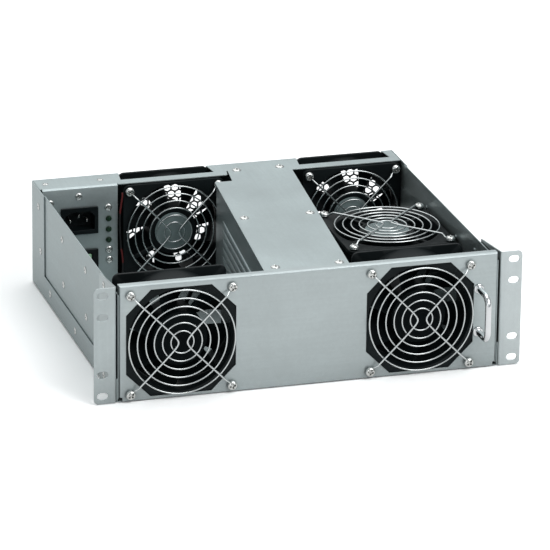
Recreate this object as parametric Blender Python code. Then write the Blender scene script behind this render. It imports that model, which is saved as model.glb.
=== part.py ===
# Rack fan tray, 19-inch and 3U, with five axial fans: two behind the front panel, two at the
# rear and one lying flat in the right bay. Units are metres. X runs across the rack, the front
# panel's face is the plane Y = 0, Y grows towards the rear and Z is up from the underside.

import math

import bmesh
import bpy
from mathutils import Matrix, Vector

for old in list(bpy.data.objects):
    bpy.data.objects.remove(old, do_unlink=True)

MM = 0.001

# Driving dimensions, in millimetres
FIT = 0.3                 # gap left between two pieces that touch
SHEET = 1.2               # wall of the folded sheet parts
BODY_HALF = 216.0         # half the width of the folded body
BODY_DEPTH = 389.0        # front face of the panel to the rear face
BODY_TOP = 122.6          # upper face of the deck
STRIP_HEIGHT = 27.0       # side strip of the pan, along the bottom
STRIP_FRONT = 330.0       # front edge of the taller side strip at the rear
PANEL_HALF = 213.0
PANEL_LOW = 0.8
PANEL_TOP = 132.5         # 3U
PANEL_SHEET = 1.5
PANEL_FLANGE = 10.0       # depth of its top return
PANEL_SIDE_FLANGE = 9.0
OCTAGON_HALF = 61.2       # front cut-out, across the flats
OCTAGON_SUM = 95.0        # |x| + |z| on its slanted sides
EAR_EDGE = 241.3          # half of 482.6, the 19-inch width
EAR_SHEET = 1.8
EAR_LEG = 68.0            # length of its leg along the side
SLOT_X = 231.8
SLOT_HALF_LENGTH = 6.3
SLOT_RADIUS = 3.9
SLOT_FROM_EDGE = (8.9, 33.4)
DECK_FRONT = 352.0        # front edge of the rear deck, where it folds down beside the inlet
NOTCH_FRONT = 365.5
NOTCHES = ((-117.0, -6.5), (96.0, 205.5))
STEM_LEFT = -45.7         # left edge of the centre cover at Y = 0
STEM_RIGHT = 51.0
STEM_SKEW = 0.0923        # the cover runs this much in X for each unit of Y
STEM_STEP = 330.0
WEB_RIGHT = -124.0        # the wall that carries the inlet ends here
SCREW_HOLE = 2.3
SHANK = 1.9
WIRE_RING = 0.95          # half the width of the guard's ring wire
WIRE_SPOKE = 1.1
EYELET = 3.75
RING_LEVEL = 4.6          # the rings stand this far off the seat
SPOKE_LEVEL = 6.1
RING_FIRST = 12.7
RING_STEP = 9.3
RINGS = 6

# Fan classes: side, depth, bore radius, hole pitch, hub radius
FAN_FRONT = {"side": 127.0, "depth": 50.8, "bore": 58.6, "pitch": 113.3, "hub": 31.0, "ring": 1.0}
FAN_FLAT = {"side": 127.0, "depth": 38.0, "bore": 58.6, "pitch": 113.3, "hub": 31.0, "ring": 1.0}
FAN_REAR = {"side": 119.0, "depth": 38.0, "bore": 55.6, "pitch": 104.8, "hub": 28.0, "ring": 0.935}
FLANGE = 4.0
TIP_GAP = 1.0
BLADES = 7

FRONT_X = (-144.6, 125.0)
FRONT_Z = 65.0
REAR_X = (-58.5, 155.2)
REAR_Z = SHEET + FIT + FAN_REAR["side"] / 2
FLAT_X = 148.2
FLAT_Y = 193.9
FLAT_TOP = 99.0

INLET = (-190.6, -147.4, 66.0, 98.2)      # left, right, low, high of the bezel
SWITCH = (-190.6, -147.4, 22.0, 46.8)
LAMP_X = -134.7
LAMP_Z = (82.0, 69.2, 56.4)
LAMP_RADIUS = 2.6
HANDLE_X = 191.8
HANDLE_Z = (42.5, 92.5)
HANDLE_REACH = 33.0
HANDLE_ROD = 3.5
HANDLE_BEND = 11.0
ROCKER_TILT = 6.0         # either side of level
REAR_HEAD = 1.6           # screw heads on the rear wall
ORIGIN_Y = (BODY_DEPTH + REAR_HEAD - HANDLE_REACH - HANDLE_ROD) / 2   # middle of the whole length


# Materials
def material(name, colour, metallic, roughness):
    made = bpy.data.materials.new(name)
    made.use_nodes = True
    shader = made.node_tree.nodes["Principled BSDF"]
    shader.inputs["Base Color"].default_value = (*colour, 1.0)
    shader.inputs["Metallic"].default_value = metallic
    shader.inputs["Roughness"].default_value = roughness
    made.diffuse_color = (*colour, 1.0)
    return made


def zinc(name, shade=1.0):
    return material(name, (0.50 * shade, 0.55 * shade, 0.56 * shade), 0.85, 0.42)


def black_plastic(name, level=0.012):
    return material(name, (level, level, level * 1.05), 0.0, 0.45)


# Mesh helpers
def add(name, verts, faces):
    """An object from points in millimetres."""
    mesh = bpy.data.meshes.new(name)
    mesh.from_pydata([tuple(c * MM for c in v) for v in verts], [], faces)
    mesh.update()
    made = bpy.data.objects.new(name, mesh)
    bpy.context.collection.objects.link(made)
    body = bmesh.new()
    body.from_mesh(mesh)
    bmesh.ops.recalc_face_normals(body, faces=body.faces)
    body.to_mesh(mesh)
    body.free()
    return made


def shells(name, parts):
    """Several separate closed shells as one object."""
    verts, faces = [], []
    for part_verts, part_faces in parts:
        start = len(verts)
        verts += part_verts
        faces += [tuple(i + start for i in face) for face in part_faces]
    return add(name, verts, faces)


def prism_data(outline, low, high, axis):
    """An outline pushed along an axis. For axis X the outline is (y, z), for Y (x, z), for Z (x, y)."""
    def place(a, b, c):
        return {"X": (c, a, b), "Y": (a, c, b), "Z": (a, b, c)}[axis]

    n = len(outline)
    verts = [place(a, b, low) for a, b in outline] + [place(a, b, high) for a, b in outline]
    faces = [tuple(range(n)), tuple(range(2 * n - 1, n - 1, -1))]
    faces += [(i, i + n, (i + 1) % n + n, (i + 1) % n) for i in range(n)]
    return verts, faces


def prism(name, outline, low, high, axis):
    return shells(name, [prism_data(outline, low, high, axis)])


def box_data(x0, x1, y0, y1, z0, z1):
    return prism_data([(x0, y0), (x1, y0), (x1, y1), (x0, y1)], z0, z1, "Z")


def box(name, x0, x1, y0, y1, z0, z1):
    return shells(name, [box_data(x0, x1, y0, y1, z0, z1)])


def circle(cx, cy, radius, count, turn=0.0):
    return [
        (cx + radius * math.cos(turn + 2 * math.pi * i / count),
         cy + radius * math.sin(turn + 2 * math.pi * i / count))
        for i in range(count)
    ]


def rounded(x0, x1, y0, y1, radius, steps=3):
    """A rectangle's outline with round corners."""
    out = []
    for cx, cy, start in ((x1 - radius, y1 - radius, 0), (x0 + radius, y1 - radius, 1),
                          (x0 + radius, y0 + radius, 2), (x1 - radius, y0 + radius, 3)):
        for i in range(steps + 1):
            angle = math.pi / 2 * (start + i / steps)
            out.append((cx + radius * math.cos(angle), cy + radius * math.sin(angle)))
    return out


def slot(cx, cy, half_length, radius, steps=4):
    """A round-ended slot that runs along the first axis."""
    out = []
    for side, start in ((1, -math.pi / 2), (-1, math.pi / 2)):
        for i in range(steps + 1):
            angle = start + math.pi * i / steps
            out.append((cx + side * (half_length - radius) + radius * math.cos(angle),
                        cy + radius * math.sin(angle)))
    return out


def join(target, other, operation="UNION"):
    """Boolean, made final at once, so that no cutter stays behind."""
    step = target.modifiers.new(operation.title(), "BOOLEAN")
    step.operation = operation
    step.solver = "EXACT"
    step.object = other
    bpy.context.view_layer.update()
    result = bpy.data.meshes.new_from_object(target.evaluated_get(bpy.context.evaluated_depsgraph_get()))
    target.modifiers.remove(step)
    old = target.data
    target.data = result
    result.name = target.name
    bpy.data.meshes.remove(old)
    bpy.data.objects.remove(other, do_unlink=True)
    return target


def cut(target, other):
    return join(target, other, "DIFFERENCE")


def bend_edges(target, radius, pick, segments=2):
    """Rounds the edges that pick(middle, direction) accepts, in millimetres."""
    body = bmesh.new()
    body.from_mesh(target.data)
    edges = []
    for edge in body.edges:
        a, b = edge.verts[0].co / MM, edge.verts[1].co / MM
        if pick((a + b) / 2, (b - a).normalized()):
            edges.append(edge)
    bmesh.ops.bevel(body, geom=edges, offset=radius * MM, segments=segments, profile=0.5,
                    affect="EDGES", clamp_overlap=True)
    body.to_mesh(target.data)
    body.free()
    return target


def finish(target, name, paint, smooth=False):
    target.name = name
    target.data.name = name
    target.data.materials.clear()
    target.data.materials.append(paint)
    if smooth:
        target.data.shade_smooth()
        target.data.set_sharp_from_angle(angle=math.radians(35))
    return target


def copy_to(source, name, paint, turn, place):
    """A further object on the same mesh shape, set in place with its origin on its own axis."""
    made = bpy.data.objects.new(name, source.data.copy())
    bpy.context.collection.objects.link(made)
    made.rotation_euler = tuple(math.radians(a) for a in turn)
    made.location = tuple(c * MM for c in place)
    return finish(made, name, paint, True)


def sweep(points, half, closed=False, up=Vector((0, 0, 1)), sides=4):
    """A bar of regular section along a path."""
    points = [Vector(p) for p in points]
    n = len(points)
    verts, faces = [], []
    for i, point in enumerate(points):
        before = points[(i - 1) % n] if closed or i else point
        after = points[(i + 1) % n] if closed or i < n - 1 else point
        along = (after - before).normalized()
        side = along.cross(up).normalized()
        lift = side.cross(along).normalized()
        reach = half / math.cos(math.pi / sides)
        for k in range(sides):
            angle = 2 * math.pi * (k + 0.5) / sides
            verts.append(tuple(point + side * reach * math.cos(angle) + lift * reach * math.sin(angle)))
    for i in range(n if closed else n - 1):
        j = (i + 1) % n
        for k in range(sides):
            m = (k + 1) % sides
            faces.append((i * sides + k, i * sides + m, j * sides + m, j * sides + k))
    if not closed:
        faces.append(tuple(range(sides)))
        faces.append(tuple((n - 1) * sides + k for k in reversed(range(sides))))
    return verts, faces


def dome_data(x, y, z, radius, height, axis, sign, count=8):
    """A low screw or rivet head that stands off a sheet, sunk a little into it."""
    def place(a, b, c):
        return {"X": (z + sign * c, a, b), "Y": (a, z + sign * c, b), "Z": (a, b, z + sign * c)}[axis]

    levels = ((radius, -0.5), (radius, height * 0.45), (radius * 0.6, height))
    verts = []
    for ring_radius, level in levels:
        verts += [place(a, b, level) for a, b in circle(x, y, ring_radius, count)]
    faces = [tuple(range(count)), tuple(range(3 * count - 1, 2 * count - 1, -1))]
    for level in range(2):
        for i in range(count):
            j = (i + 1) % count
            faces.append((level * count + i, level * count + j, (level + 1) * count + j, (level + 1) * count + i))
    return verts, faces


# Fan frame: two square flanges on a round barrel, open corners, and the motor seat on its struts
def fan_frame(kind):
    half, deep = kind["side"] / 2, kind["depth"] / 2
    square = rounded(-half, half, -half, half, 7.0, 2)
    frame = prism("frame", square, deep - FLANGE, deep, "Z")
    join(frame, prism("barrel", circle(0, 0, half - 0.6, 24, math.pi / 24), -deep + 1, deep - 1, "Z"))
    join(frame, prism("flange", square, -deep, -deep + FLANGE, "Z"))
    reach = kind["pitch"] / 2
    corners = [(sx * reach, sy * reach) for sx in (-1, 1) for sy in (-1, 1)]
    cut(frame, prism("bore", circle(0, 0, kind["bore"], 24, math.pi / 24), -deep - 1, deep + 1, "Z"))
    holes = [prism_data(circle(x, y, SCREW_HOLE, 6), -deep - 1, deep + 1, "Z") for x, y in corners]
    cut(frame, shells("holes", holes))
    seat = prism("seat", circle(0, 0, kind["hub"], 16), deep - 5.0, deep - 0.8, "Z")
    for turn in (25, 115, 205, 295):
        angle = math.radians(turn)
        ends = ((kind["hub"] - 3, 0.0), (kind["bore"] + 2.0, 0.0))
        path = [
            (r * math.cos(angle) - 7.0 * math.sin(angle), r * math.sin(angle) + 7.0 * math.cos(angle), deep - 2.9)
            for r, _ in ends
        ]
        join(seat, shells("strut", [sweep(path, 2.0)]))
    join(frame, seat)
    return frame


# Impeller: a round-nosed hub with twisted, cambered blades
def blade_data(kind, turn, across=2, along=3):
    """One blade: the stagger falls from root to tip, and the tip is swept back."""
    deep = kind["depth"] / 2
    root, tip = kind["hub"] - 2.0, kind["bore"] - TIP_GAP
    sheets = []
    for face in (1, -1):
        sheet = []
        for i in range(across + 1):
            s = i / across
            radius = root + (tip - root) * s
            stagger = math.radians(52 - 24 * s)
            chord = (2 * deep - 13.0) / math.sin(stagger) * (0.80 - 0.16 * s)
            for j in range(along + 1):
                t = j / along - 0.5
                camber = 2.6 * (1 - 4 * t * t)
                thick = face * (1.0 if 0 < j < along else 0.45)
                run = t * chord * math.cos(stagger) - (camber + thick) * math.sin(stagger)
                rise = t * chord * math.sin(stagger) + (camber + thick) * math.cos(stagger)
                angle = turn + run / radius + 0.22 * s
                sheet.append((radius * math.cos(angle), radius * math.sin(angle), rise - 2.0))
        sheets.append(sheet)
    verts = sheets[0] + sheets[1]
    n, row = len(sheets[0]), along + 1
    faces = []
    for i in range(across):
        for j in range(along):
            a, b, c, d = i * row + j, (i + 1) * row + j, (i + 1) * row + j + 1, i * row + j + 1
            faces.append((a, b, c, d))
            faces.append((a + n, d + n, c + n, b + n))
    rim = [i * row for i in range(across + 1)] + [across * row + j for j in range(1, row)]
    rim += [i * row + along for i in range(across - 1, -1, -1)] + [j for j in range(along - 1, 0, -1)]
    for k, a in enumerate(rim):
        b = rim[(k + 1) % len(rim)]
        faces.append((a, a + n, b + n, b))
    return verts, faces


def fan_impeller(kind):
    deep = kind["depth"] / 2
    low, high = -deep + 3.0, deep - 5.0 - FIT
    hub = prism("hub", circle(0, 0, kind["hub"], 20), low, high, "Z")
    bend_edges(hub, 2.5, lambda middle, way: abs(way.z) < 0.1 and abs(middle.z - low) < 0.1, 1)
    join(hub, shells("blades", [blade_data(kind, 2 * math.pi * k / BLADES) for k in range(BLADES)]))
    return hub


# Wire finger guard: six rings, four eyelets and two bent spokes welded across them
def fan_guard(kind):
    reach = kind["pitch"] / 2
    parts = []
    for i in range(RINGS):
        radius = (RING_FIRST + RING_STEP * i) * kind["ring"]
        segments = 12 if i < 2 else 16
        parts.append(sweep([(x, y, RING_LEVEL) for x, y in circle(0, 0, radius, segments, math.pi / segments)],
                           WIRE_RING, True))
    for sx in (-1, 1):
        for sy in (-1, 1):
            loop = circle(sx * reach, sy * reach, EYELET, 6, math.pi / 6)
            parts.append(sweep([(x, y, WIRE_SPOKE) for x, y in loop], WIRE_SPOKE, True))
    guard = shells("guard", parts)
    spokes = []
    for side in (-1, 1):
        start = reach - EYELET * 0.75
        half = [(start, start, WIRE_SPOKE), (start - 1.8, start - 1.8, WIRE_SPOKE),
                (start - 6.0, start - 6.0, SPOKE_LEVEL), (12.0, 11.4, SPOKE_LEVEL),
                (7.6, 6.4, SPOKE_LEVEL), (5.5, 2.4, SPOKE_LEVEL)]
        path = half + [(x, -y, z) for x, y, z in reversed(half)]
        spokes.append(sweep([(side * x, y, z) for x, y, z in path], WIRE_SPOKE))
    return join(guard, shells("spokes", spokes))


def pan_screw(head_radius, shank_length, head_low=2 * WIRE_SPOKE + FIT):
    """A pan-head screw that clamps an eyelet. Its seat plane is Z = 0."""
    top = head_low + 3.0
    screw = prism("screw", circle(0, 0, head_radius, 10), head_low, top, "Z")
    bend_edges(screw, 1.5, lambda middle, way: abs(way.z) < 0.1 and middle.z > top - 0.1, 1)
    join(screw, prism("shank", circle(0, 0, SHANK, 6), -shank_length, head_low + 1.0, "Z"))
    arms = [(2.7 if i % 2 == 0 else 0.9, math.pi / 4 * i) for i in range(8)]
    rim = [(r * math.cos(a), r * math.sin(a), top + 0.2) for r, a in arms]
    recess = rim + [(0.0, 0.0, top - 2.0)]
    sides = [tuple(range(8))] + [(i, (i + 1) % 8, 8) for i in range(8)]
    cut(screw, shells("recess", [(recess, sides)]))
    return screw


# Folded pan: floor, the low side strips with their taller rear ends, and the perforated rear wall
def build_pan(paint):
    outer = box("pan", -BODY_HALF, BODY_HALF, PANEL_SHEET + FIT, BODY_DEPTH, 0, BODY_TOP)
    bend_edges(outer, 1.6, lambda middle, way: (abs(way.y) > 0.9 and middle.z < 1)
               or (abs(way.z) > 0.9 and middle.y > BODY_DEPTH - 1)
               or (abs(way.x) > 0.9 and middle.z < 1 and middle.y > BODY_DEPTH - 1))
    cut(outer, box("inside", -BODY_HALF + SHEET, BODY_HALF - SHEET, -5, BODY_DEPTH - SHEET, SHEET, 200))
    cut(outer, box("windows", -300, 300, -5, STRIP_FRONT, STRIP_HEIGHT, 200))
    cut(outer, box("under_deck", -BODY_HALF + SHEET + 0.02, BODY_HALF - SHEET - 0.02, 380, 400,
                   BODY_TOP - SHEET - FIT, 200))
    heads = []
    for side in (-1, 1):
        for y, z in ((184.5, 14.5), (301.0, 16.0), (346.5, 51.5), (355.5, 102.5)):
            heads.append(dome_data(y, z, side * BODY_HALF, 3.3, 0.9, "X", side))
    for centre in REAR_X:
        for sx in (-1, 1):
            for sz in (-1, 1):
                reach = FAN_REAR["pitch"] / 2
                heads.append(dome_data(centre + sx * reach, REAR_Z + sz * reach, BODY_DEPTH, 4.0, REAR_HEAD, "Y", 1))
    join(outer, shells("heads", heads))
    pitch, rows = 15.0, 3
    holes = []
    for centre in REAR_X:
        for row in range(-rows, rows + 1):
            for k in range(-rows, rows + 1):
                x, z = (k + 0.5 * (row % 2)) * pitch, row * pitch * math.sqrt(0.75)
                if math.hypot(x, z) < FAN_REAR["bore"] - 6.0:
                    hole = circle(centre + x, REAR_Z + z, 5.8, 6, math.pi / 6)
                    holes.append(prism_data(hole, BODY_DEPTH - 6, BODY_DEPTH + 6, "Y"))
    cut(outer, shells("punching", holes))
    return finish(outer, "base_pan", paint)


# Rear deck and centre cover, one sheet, folded down at the left to carry the inlet and the switch
def build_deck(paint):
    edge = BODY_HALF - SHEET - FIT
    low, high = BODY_TOP - SHEET, BODY_TOP
    front = PANEL_FLANGE + 3.0
    bend_end = DECK_FRONT + 3.0
    outline = [
        (STEM_LEFT + STEM_SKEW * front, front), (STEM_RIGHT + STEM_SKEW * front, front),
        (STEM_RIGHT + STEM_SKEW * DECK_FRONT, DECK_FRONT), (edge, DECK_FRONT), (edge, BODY_DEPTH),
        (NOTCHES[1][1] - 3, BODY_DEPTH), (NOTCHES[1][1], NOTCH_FRONT), (NOTCHES[1][0], NOTCH_FRONT),
        (NOTCHES[1][0] + 3, BODY_DEPTH), (NOTCHES[0][1] - 3, BODY_DEPTH), (NOTCHES[0][1], NOTCH_FRONT),
        (NOTCHES[0][0], NOTCH_FRONT), (NOTCHES[0][0] + 3, BODY_DEPTH), (-edge, BODY_DEPTH),
        (-edge, bend_end), (WEB_RIGHT, bend_end), (WEB_RIGHT + 1.0, DECK_FRONT), (6.0, DECK_FRONT),
        (8.6, NOTCH_FRONT), (9.9, NOTCH_FRONT),
        (5.4, STEM_STEP), (STEM_LEFT + STEM_SKEW * STEM_STEP, STEM_STEP),
    ]
    deck = prism("deck", outline, low, high, "Z")
    bend = 2.2
    turn = [(DECK_FRONT + bend - bend * math.cos(a), high - bend + bend * math.sin(a))
            for a in (0, math.pi / 6, math.pi / 3, math.pi / 2)]
    profile = [(DECK_FRONT, SHEET + FIT)] + turn + [
        (bend_end + 6, high), (bend_end + 6, low), (DECK_FRONT + SHEET, low), (DECK_FRONT + SHEET, SHEET + FIT)]
    join(deck, prism("web", profile, -edge + 2.5, WEB_RIGHT, "X"))
    grow = FIT
    for left, right, bottom, top in (INLET, SWITCH):
        opening = box("opening", left + 2.5 - grow, right - 2.5 + grow, DECK_FRONT - 3, DECK_FRONT + 5,
                      bottom + 2.5 - grow, top - 2.5 + grow)
        cut(deck, opening)
    lamps = [prism_data(circle(LAMP_X, z, LAMP_RADIUS + FIT, 10), DECK_FRONT - 3, DECK_FRONT + 5, "Y")
             for z in LAMP_Z]
    cut(deck, shells("lamp_holes", lamps))
    heads = []
    for x, y in ((-27.5, 42.7), (44.3, 40.2), (-16.3, 203.9), (59.9, 202.7), (20.5, 364.2), (72.0, 364.0)):
        heads.append(dome_data(x, y, high, 4.2, 1.9, "Z", 1, 10))
    for x, y in ((-204.0, 371.0), (-140.0, 371.0)):
        heads.append(dome_data(x, y, high, 2.6, 0.5, "Z", 1, 8))
    for x, z in ((-169.7, 111.4), (-203.0, 105.5), (-135.0, 95.5), (-134.2, 44.2), (-133.8, 32.0)):
        heads.append(dome_data(x, z, DECK_FRONT, 3.4, 1.5, "Y", -1))
    join(deck, shells("heads", heads))
    return finish(deck, "rear_deck", paint)


# Front panel: a plate with round bends into a top return and short side returns
def build_panel(paint):
    panel = box("panel", -PANEL_HALF, PANEL_HALF, 0, PANEL_FLANGE, PANEL_LOW, PANEL_TOP)
    bend_edges(panel, 2.4, lambda middle, way: middle.y < 0.5
               and ((abs(way.x) > 0.9 and middle.z > 60) or abs(way.z) > 0.9), 3)
    hollow = box("hollow", -PANEL_HALF + PANEL_SHEET, PANEL_HALF - PANEL_SHEET, PANEL_SHEET, 50,
                 -20, PANEL_TOP - PANEL_SHEET)
    cut(panel, hollow)
    notch = shells("notch", [box_data(-PANEL_HALF - 1, -PANEL_HALF + 3.2, -1, 50, -1, PANEL_LOW + 4.5),
                             box_data(PANEL_HALF - 3.2, PANEL_HALF + 1, -1, 50, -1, PANEL_LOW + 4.5)])
    cut(panel, notch)
    trim = shells("trim", [box_data(s * PANEL_HALF - 2, s * PANEL_HALF + 2, PANEL_SIDE_FLANGE, 50, -1,
                                    PANEL_TOP - 6) for s in (-1, 1)])
    cut(panel, trim)
    for centre in FRONT_X:
        a, b = OCTAGON_HALF, OCTAGON_SUM - OCTAGON_HALF
        corners = [(a, -b), (a, b), (b, a), (-b, a), (-a, b), (-a, -b), (-b, -a), (b, -a)]
        cut(panel, prism("octagon", [(centre + x, FRONT_Z + z) for x, z in corners], -5, 5, "Y"))
        reach = FAN_FRONT["pitch"] / 2
        holes = [prism_data(circle(centre + sx * reach, FRONT_Z + sz * reach, SCREW_HOLE, 8, math.pi / 8), -5, 5, "Y")
                 for sx in (-1, 1) for sz in (-1, 1)]
        cut(panel, shells("holes", holes))
    bores = [prism_data(circle(HANDLE_X, z, 2.6, 8), -5, 5, "Y") for z in HANDLE_Z]
    cut(panel, shells("handle_holes", bores))
    return finish(panel, "front_panel", paint)


# Rack ear: an angle with a round bend, four slots, and a leg along the side
def build_ear(side, name, paint):
    leg_in = BODY_HALF + FIT
    leg_out = leg_in + EAR_SHEET
    bend = 2.6
    arc = [(leg_in + bend - bend * math.cos(a), bend - bend * math.sin(a))
           for a in (0, math.pi / 6, math.pi / 3, math.pi / 2)]
    outline = [(leg_in, EAR_LEG)] + arc + [(EAR_EDGE, 0), (EAR_EDGE, EAR_SHEET),
                                           (leg_out, EAR_SHEET), (leg_out, EAR_LEG)]
    ear = prism("ear", [(side * x, y) for x, y in outline], 0, PANEL_TOP, "Z")
    keep = rounded(180, EAR_EDGE, 0, PANEL_TOP, 4.5, 3)
    join(ear, prism("keep", [(side * x, z) for x, z in keep], -5, 200, "Y"), "INTERSECT")
    slots = []
    for near in SLOT_FROM_EDGE:
        for z in (near, PANEL_TOP - near):
            slots.append(prism_data(slot(side * SLOT_X, z, SLOT_HALF_LENGTH, SLOT_RADIUS), -5, 6, "Y"))
    cut(ear, shells("slots", slots))
    heads = [dome_data(48.0, z, side * leg_out, 3.3, 0.9, "X", side) for z in (14.0, 118.3)]
    join(ear, shells("heads", heads))
    return finish(ear, name, paint)


# Side plate: closes the window between the strips from the inside
def build_side_plate(side, name, paint):
    outer = BODY_HALF - SHEET - FIT
    inner = outer - SHEET
    front = PANEL_SHEET + 1.0
    plate = box("plate", min(side * inner, side * outer), max(side * inner, side * outer),
                front, STRIP_FRONT + 14, SHEET + 2.0, BODY_TOP)
    trim = box("trim", side * inner - 5, side * inner + 5, DECK_FRONT - 20, 400, BODY_TOP - 30, 200)
    cut(plate, trim)
    heads = []
    for y, z in ((249.0, 99.5), (143.0, 101.0), (243.0, 48.0), (140.0, 47.0)):
        heads.append(dome_data(y, z, side * outer, 3.3, 1.1, "X", side))
        heads.append(dome_data(y, z, side * inner, 2.4, 1.3, "X", -side, 6))
    heads.append(dome_data(78.0, 108.0, side * inner, 2.4, 1.3, "X", -side, 6))
    join(plate, shells("heads", heads))
    return finish(plate, name, paint)


# Wall of the centre duct, with five long louvre slots
def build_duct_wall(side, name, paint):
    start = PANEL_FLANGE + 4.0
    edge = STEM_LEFT if side < 0 else STEM_RIGHT
    end = STEM_STEP - 3.0 if side < 0 else DECK_FRONT - 8.0
    inset = 1.5
    length = (end - start) / math.cos(math.atan(STEM_SKEW))
    low, high = SHEET + FIT, BODY_TOP - SHEET - FIT
    bend = 9.0
    section = [(0, low), (0, high), (bend, high), (bend, high - SHEET), (SHEET, high - SHEET),
               (SHEET, low + SHEET), (bend, low + SHEET), (bend, low)]
    wall = prism("wall", [(-side * x, z) for x, z in section], 0, length, "Y")
    louvres = [prism_data(slot(length * 0.46, z, length * 0.33, 1.5, 2), -20, 20, "X")
               for z in (42.0, 56.0, 70.0, 84.0, 98.0)]
    cut(wall, shells("louvres", louvres))
    wall.data.transform(Matrix.Rotation(-math.atan(STEM_SKEW), 4, "Z"))
    wall.location = ((edge + STEM_SKEW * start - side * inset) * MM, start * MM, 0)
    return finish(wall, name, paint)


# Shelf for the flat fan: a plate with a round opening and a flange folded down at each end
def build_shelf(paint):
    top = FLAT_TOP - FAN_FLAT["depth"] - FIT
    right = BODY_HALF - 2 * SHEET - FIT - 2.2
    y0, y1 = FLAT_Y - 62.0, FLAT_Y + 62.0
    left0 = STEM_RIGHT + STEM_SKEW * y0 - 1.5 + FIT
    left1 = STEM_RIGHT + STEM_SKEW * y1 - 1.5 + FIT
    shelf = prism("shelf", [(left0, y0), (right, y0), (right, y1), (left1, y1)], top - SHEET, top, "Z")
    down = 14.0
    near = prism("near", [(left0, y0), (left0 + SHEET, y0), (left1 + SHEET, y1), (left1, y1)],
                 top - down, top - 0.1, "Z")
    join(shelf, near)
    join(shelf, box("far", right - SHEET, right, y0, y1, top - down, top - 0.1))
    cut(shelf, prism("opening", circle(FLAT_X, FLAT_Y, FAN_FLAT["bore"], 28, math.pi / 28), 0, 200, "Z"))
    reach = FAN_FLAT["pitch"] / 2
    holes = [prism_data(circle(FLAT_X + sx * reach, FLAT_Y + sy * reach, SCREW_HOLE, 8), 0, 200, "Z")
             for sx in (-1, 1) for sy in (-1, 1)]
    cut(shelf, shells("holes", holes))
    return finish(shelf, "flat_fan_shelf", paint)


# Handle: a bent round rod on two feet
def build_handle(paint):
    path = [(HANDLE_X, 3.0, HANDLE_Z[0]), (HANDLE_X, -HANDLE_REACH + HANDLE_BEND, HANDLE_Z[0])]
    low, high = HANDLE_Z
    for start, centre_z in ((0, low + HANDLE_BEND), (1, high - HANDLE_BEND)):
        for i in range(1, 5):
            angle = math.pi / 2 * (start + i / 4)
            path.append((HANDLE_X, -HANDLE_REACH + HANDLE_BEND - HANDLE_BEND * math.sin(angle),
                         centre_z - HANDLE_BEND * math.cos(angle)))
        if start == 0:
            path.append((HANDLE_X, -HANDLE_REACH, high - HANDLE_BEND))
    path[-1] = (HANDLE_X, -HANDLE_REACH + HANDLE_BEND, high)
    path.append((HANDLE_X, 3.0, high))
    rod = shells("rod", [sweep(path, HANDLE_ROD, up=Vector((1, 0, 0)), sides=8)])
    trim = box("trim", 0, 300, -FIT, 20, 0, 200)
    cut(rod, trim)
    studs = [prism_data(circle(HANDLE_X, z, 2.2, 6), -2, PANEL_SHEET + 4, "Y") for z in HANDLE_Z]
    join(rod, shells("studs", studs))
    feet = [prism_data(circle(HANDLE_X, z, 5.4, 10), -1.8, -FIT, "Y") for z in HANDLE_Z]
    join(rod, shells("feet", feet))
    nuts = [prism_data(circle(HANDLE_X, z, 2.9, 6), PANEL_SHEET + FIT, PANEL_SHEET + 2.8, "Y")
            for z in HANDLE_Z]
    join(rod, shells("nuts", nuts))
    return finish(rod, "handle", paint, True)


# Mains inlet: a bezel on the wall, a six-sided well and three flat pins
def build_inlet(body_paint, pin_paint):
    left, right, low, high = INLET
    front = DECK_FRONT - FIT
    inlet = box("inlet", left, right, front - 2.2, front, low, high)
    join(inlet, box("case", left + 2.5, right - 2.5, front - 1, front + 22, low + 2.5, high - 2.5))
    x0, x1, z0, z1 = left + 4.2, right - 4.2, low + 5.0, high - 5.0
    well = [(x0, z0), (x1, z0), (x1, z1 - 5.5), (x1 - 6.0, z1), (x0 + 6.0, z1), (x0, z1 - 5.5)]
    cut(inlet, prism("well", well, front - 10, front + 17, "Y"))
    middle = (left + right) / 2
    places = (("earth", middle, 86.0), ("left", middle - 9.8, 80.5), ("right", middle + 9.8, 80.5))
    slots = [box_data(x - 0.9 - 0.3, x + 0.9 + 0.3, front + 10, front + 30, z - 2.3, z + 2.3)
             for _, x, z in places]
    cut(inlet, shells("pin_slots", slots))
    finish(inlet, "mains_inlet", body_paint)
    for label, x, z in places:
        pin = box("pin", x - 0.9, x + 0.9, front + 3.5, front + 25, z - 2.0, z + 2.0)
        bend_edges(pin, 0.5, lambda mid, way, y=front + 3.5: mid.y < y + 0.1, 1)
        finish(pin, "inlet_pin_" + label, pin_paint)


# Power switch: a hollow bezel and a rocker that turns on an upright axis in it
def build_switch(body_paint, rocker_paint):
    left, right, low, high = SWITCH
    front = DECK_FRONT - FIT
    case = box("case", left, right, front - 2.4, front, low, high)
    join(case, box("shell", left + 2.5, right - 2.5, front - 1, front + 20, low + 2.5, high - 2.5))
    x0, x1, z0, z1 = left + 7.0, right - 7.0, low + 4.8, high - 4.8
    cut(case, box("well", x0, x1, front - 10, front + 15, z0, z1))
    finish(case, "switch_case", body_paint)
    wide, tall = (x1 - x0) / 2 - 0.9, (z1 - z0) / 2 - 0.5
    level = [(-wide, -4.4), (0, -1.2), (wide, -4.4), (wide - 1.6, 5.0), (3.0, 7.0), (-3.0, 7.0),
             (-wide + 1.6, 5.0)]
    tilt = math.radians(-ROCKER_TILT)
    outline = [(x * math.cos(tilt) - y * math.sin(tilt), x * math.sin(tilt) + y * math.cos(tilt)) for x, y in level]
    rocker = prism("rocker", outline, -tall, tall, "Z")
    rocker.location = ((x0 + x1) / 2 * MM, (front + 1.5) * MM, (z0 + z1) / 2 * MM)
    finish(rocker, "switch_rocker", rocker_paint)


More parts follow.
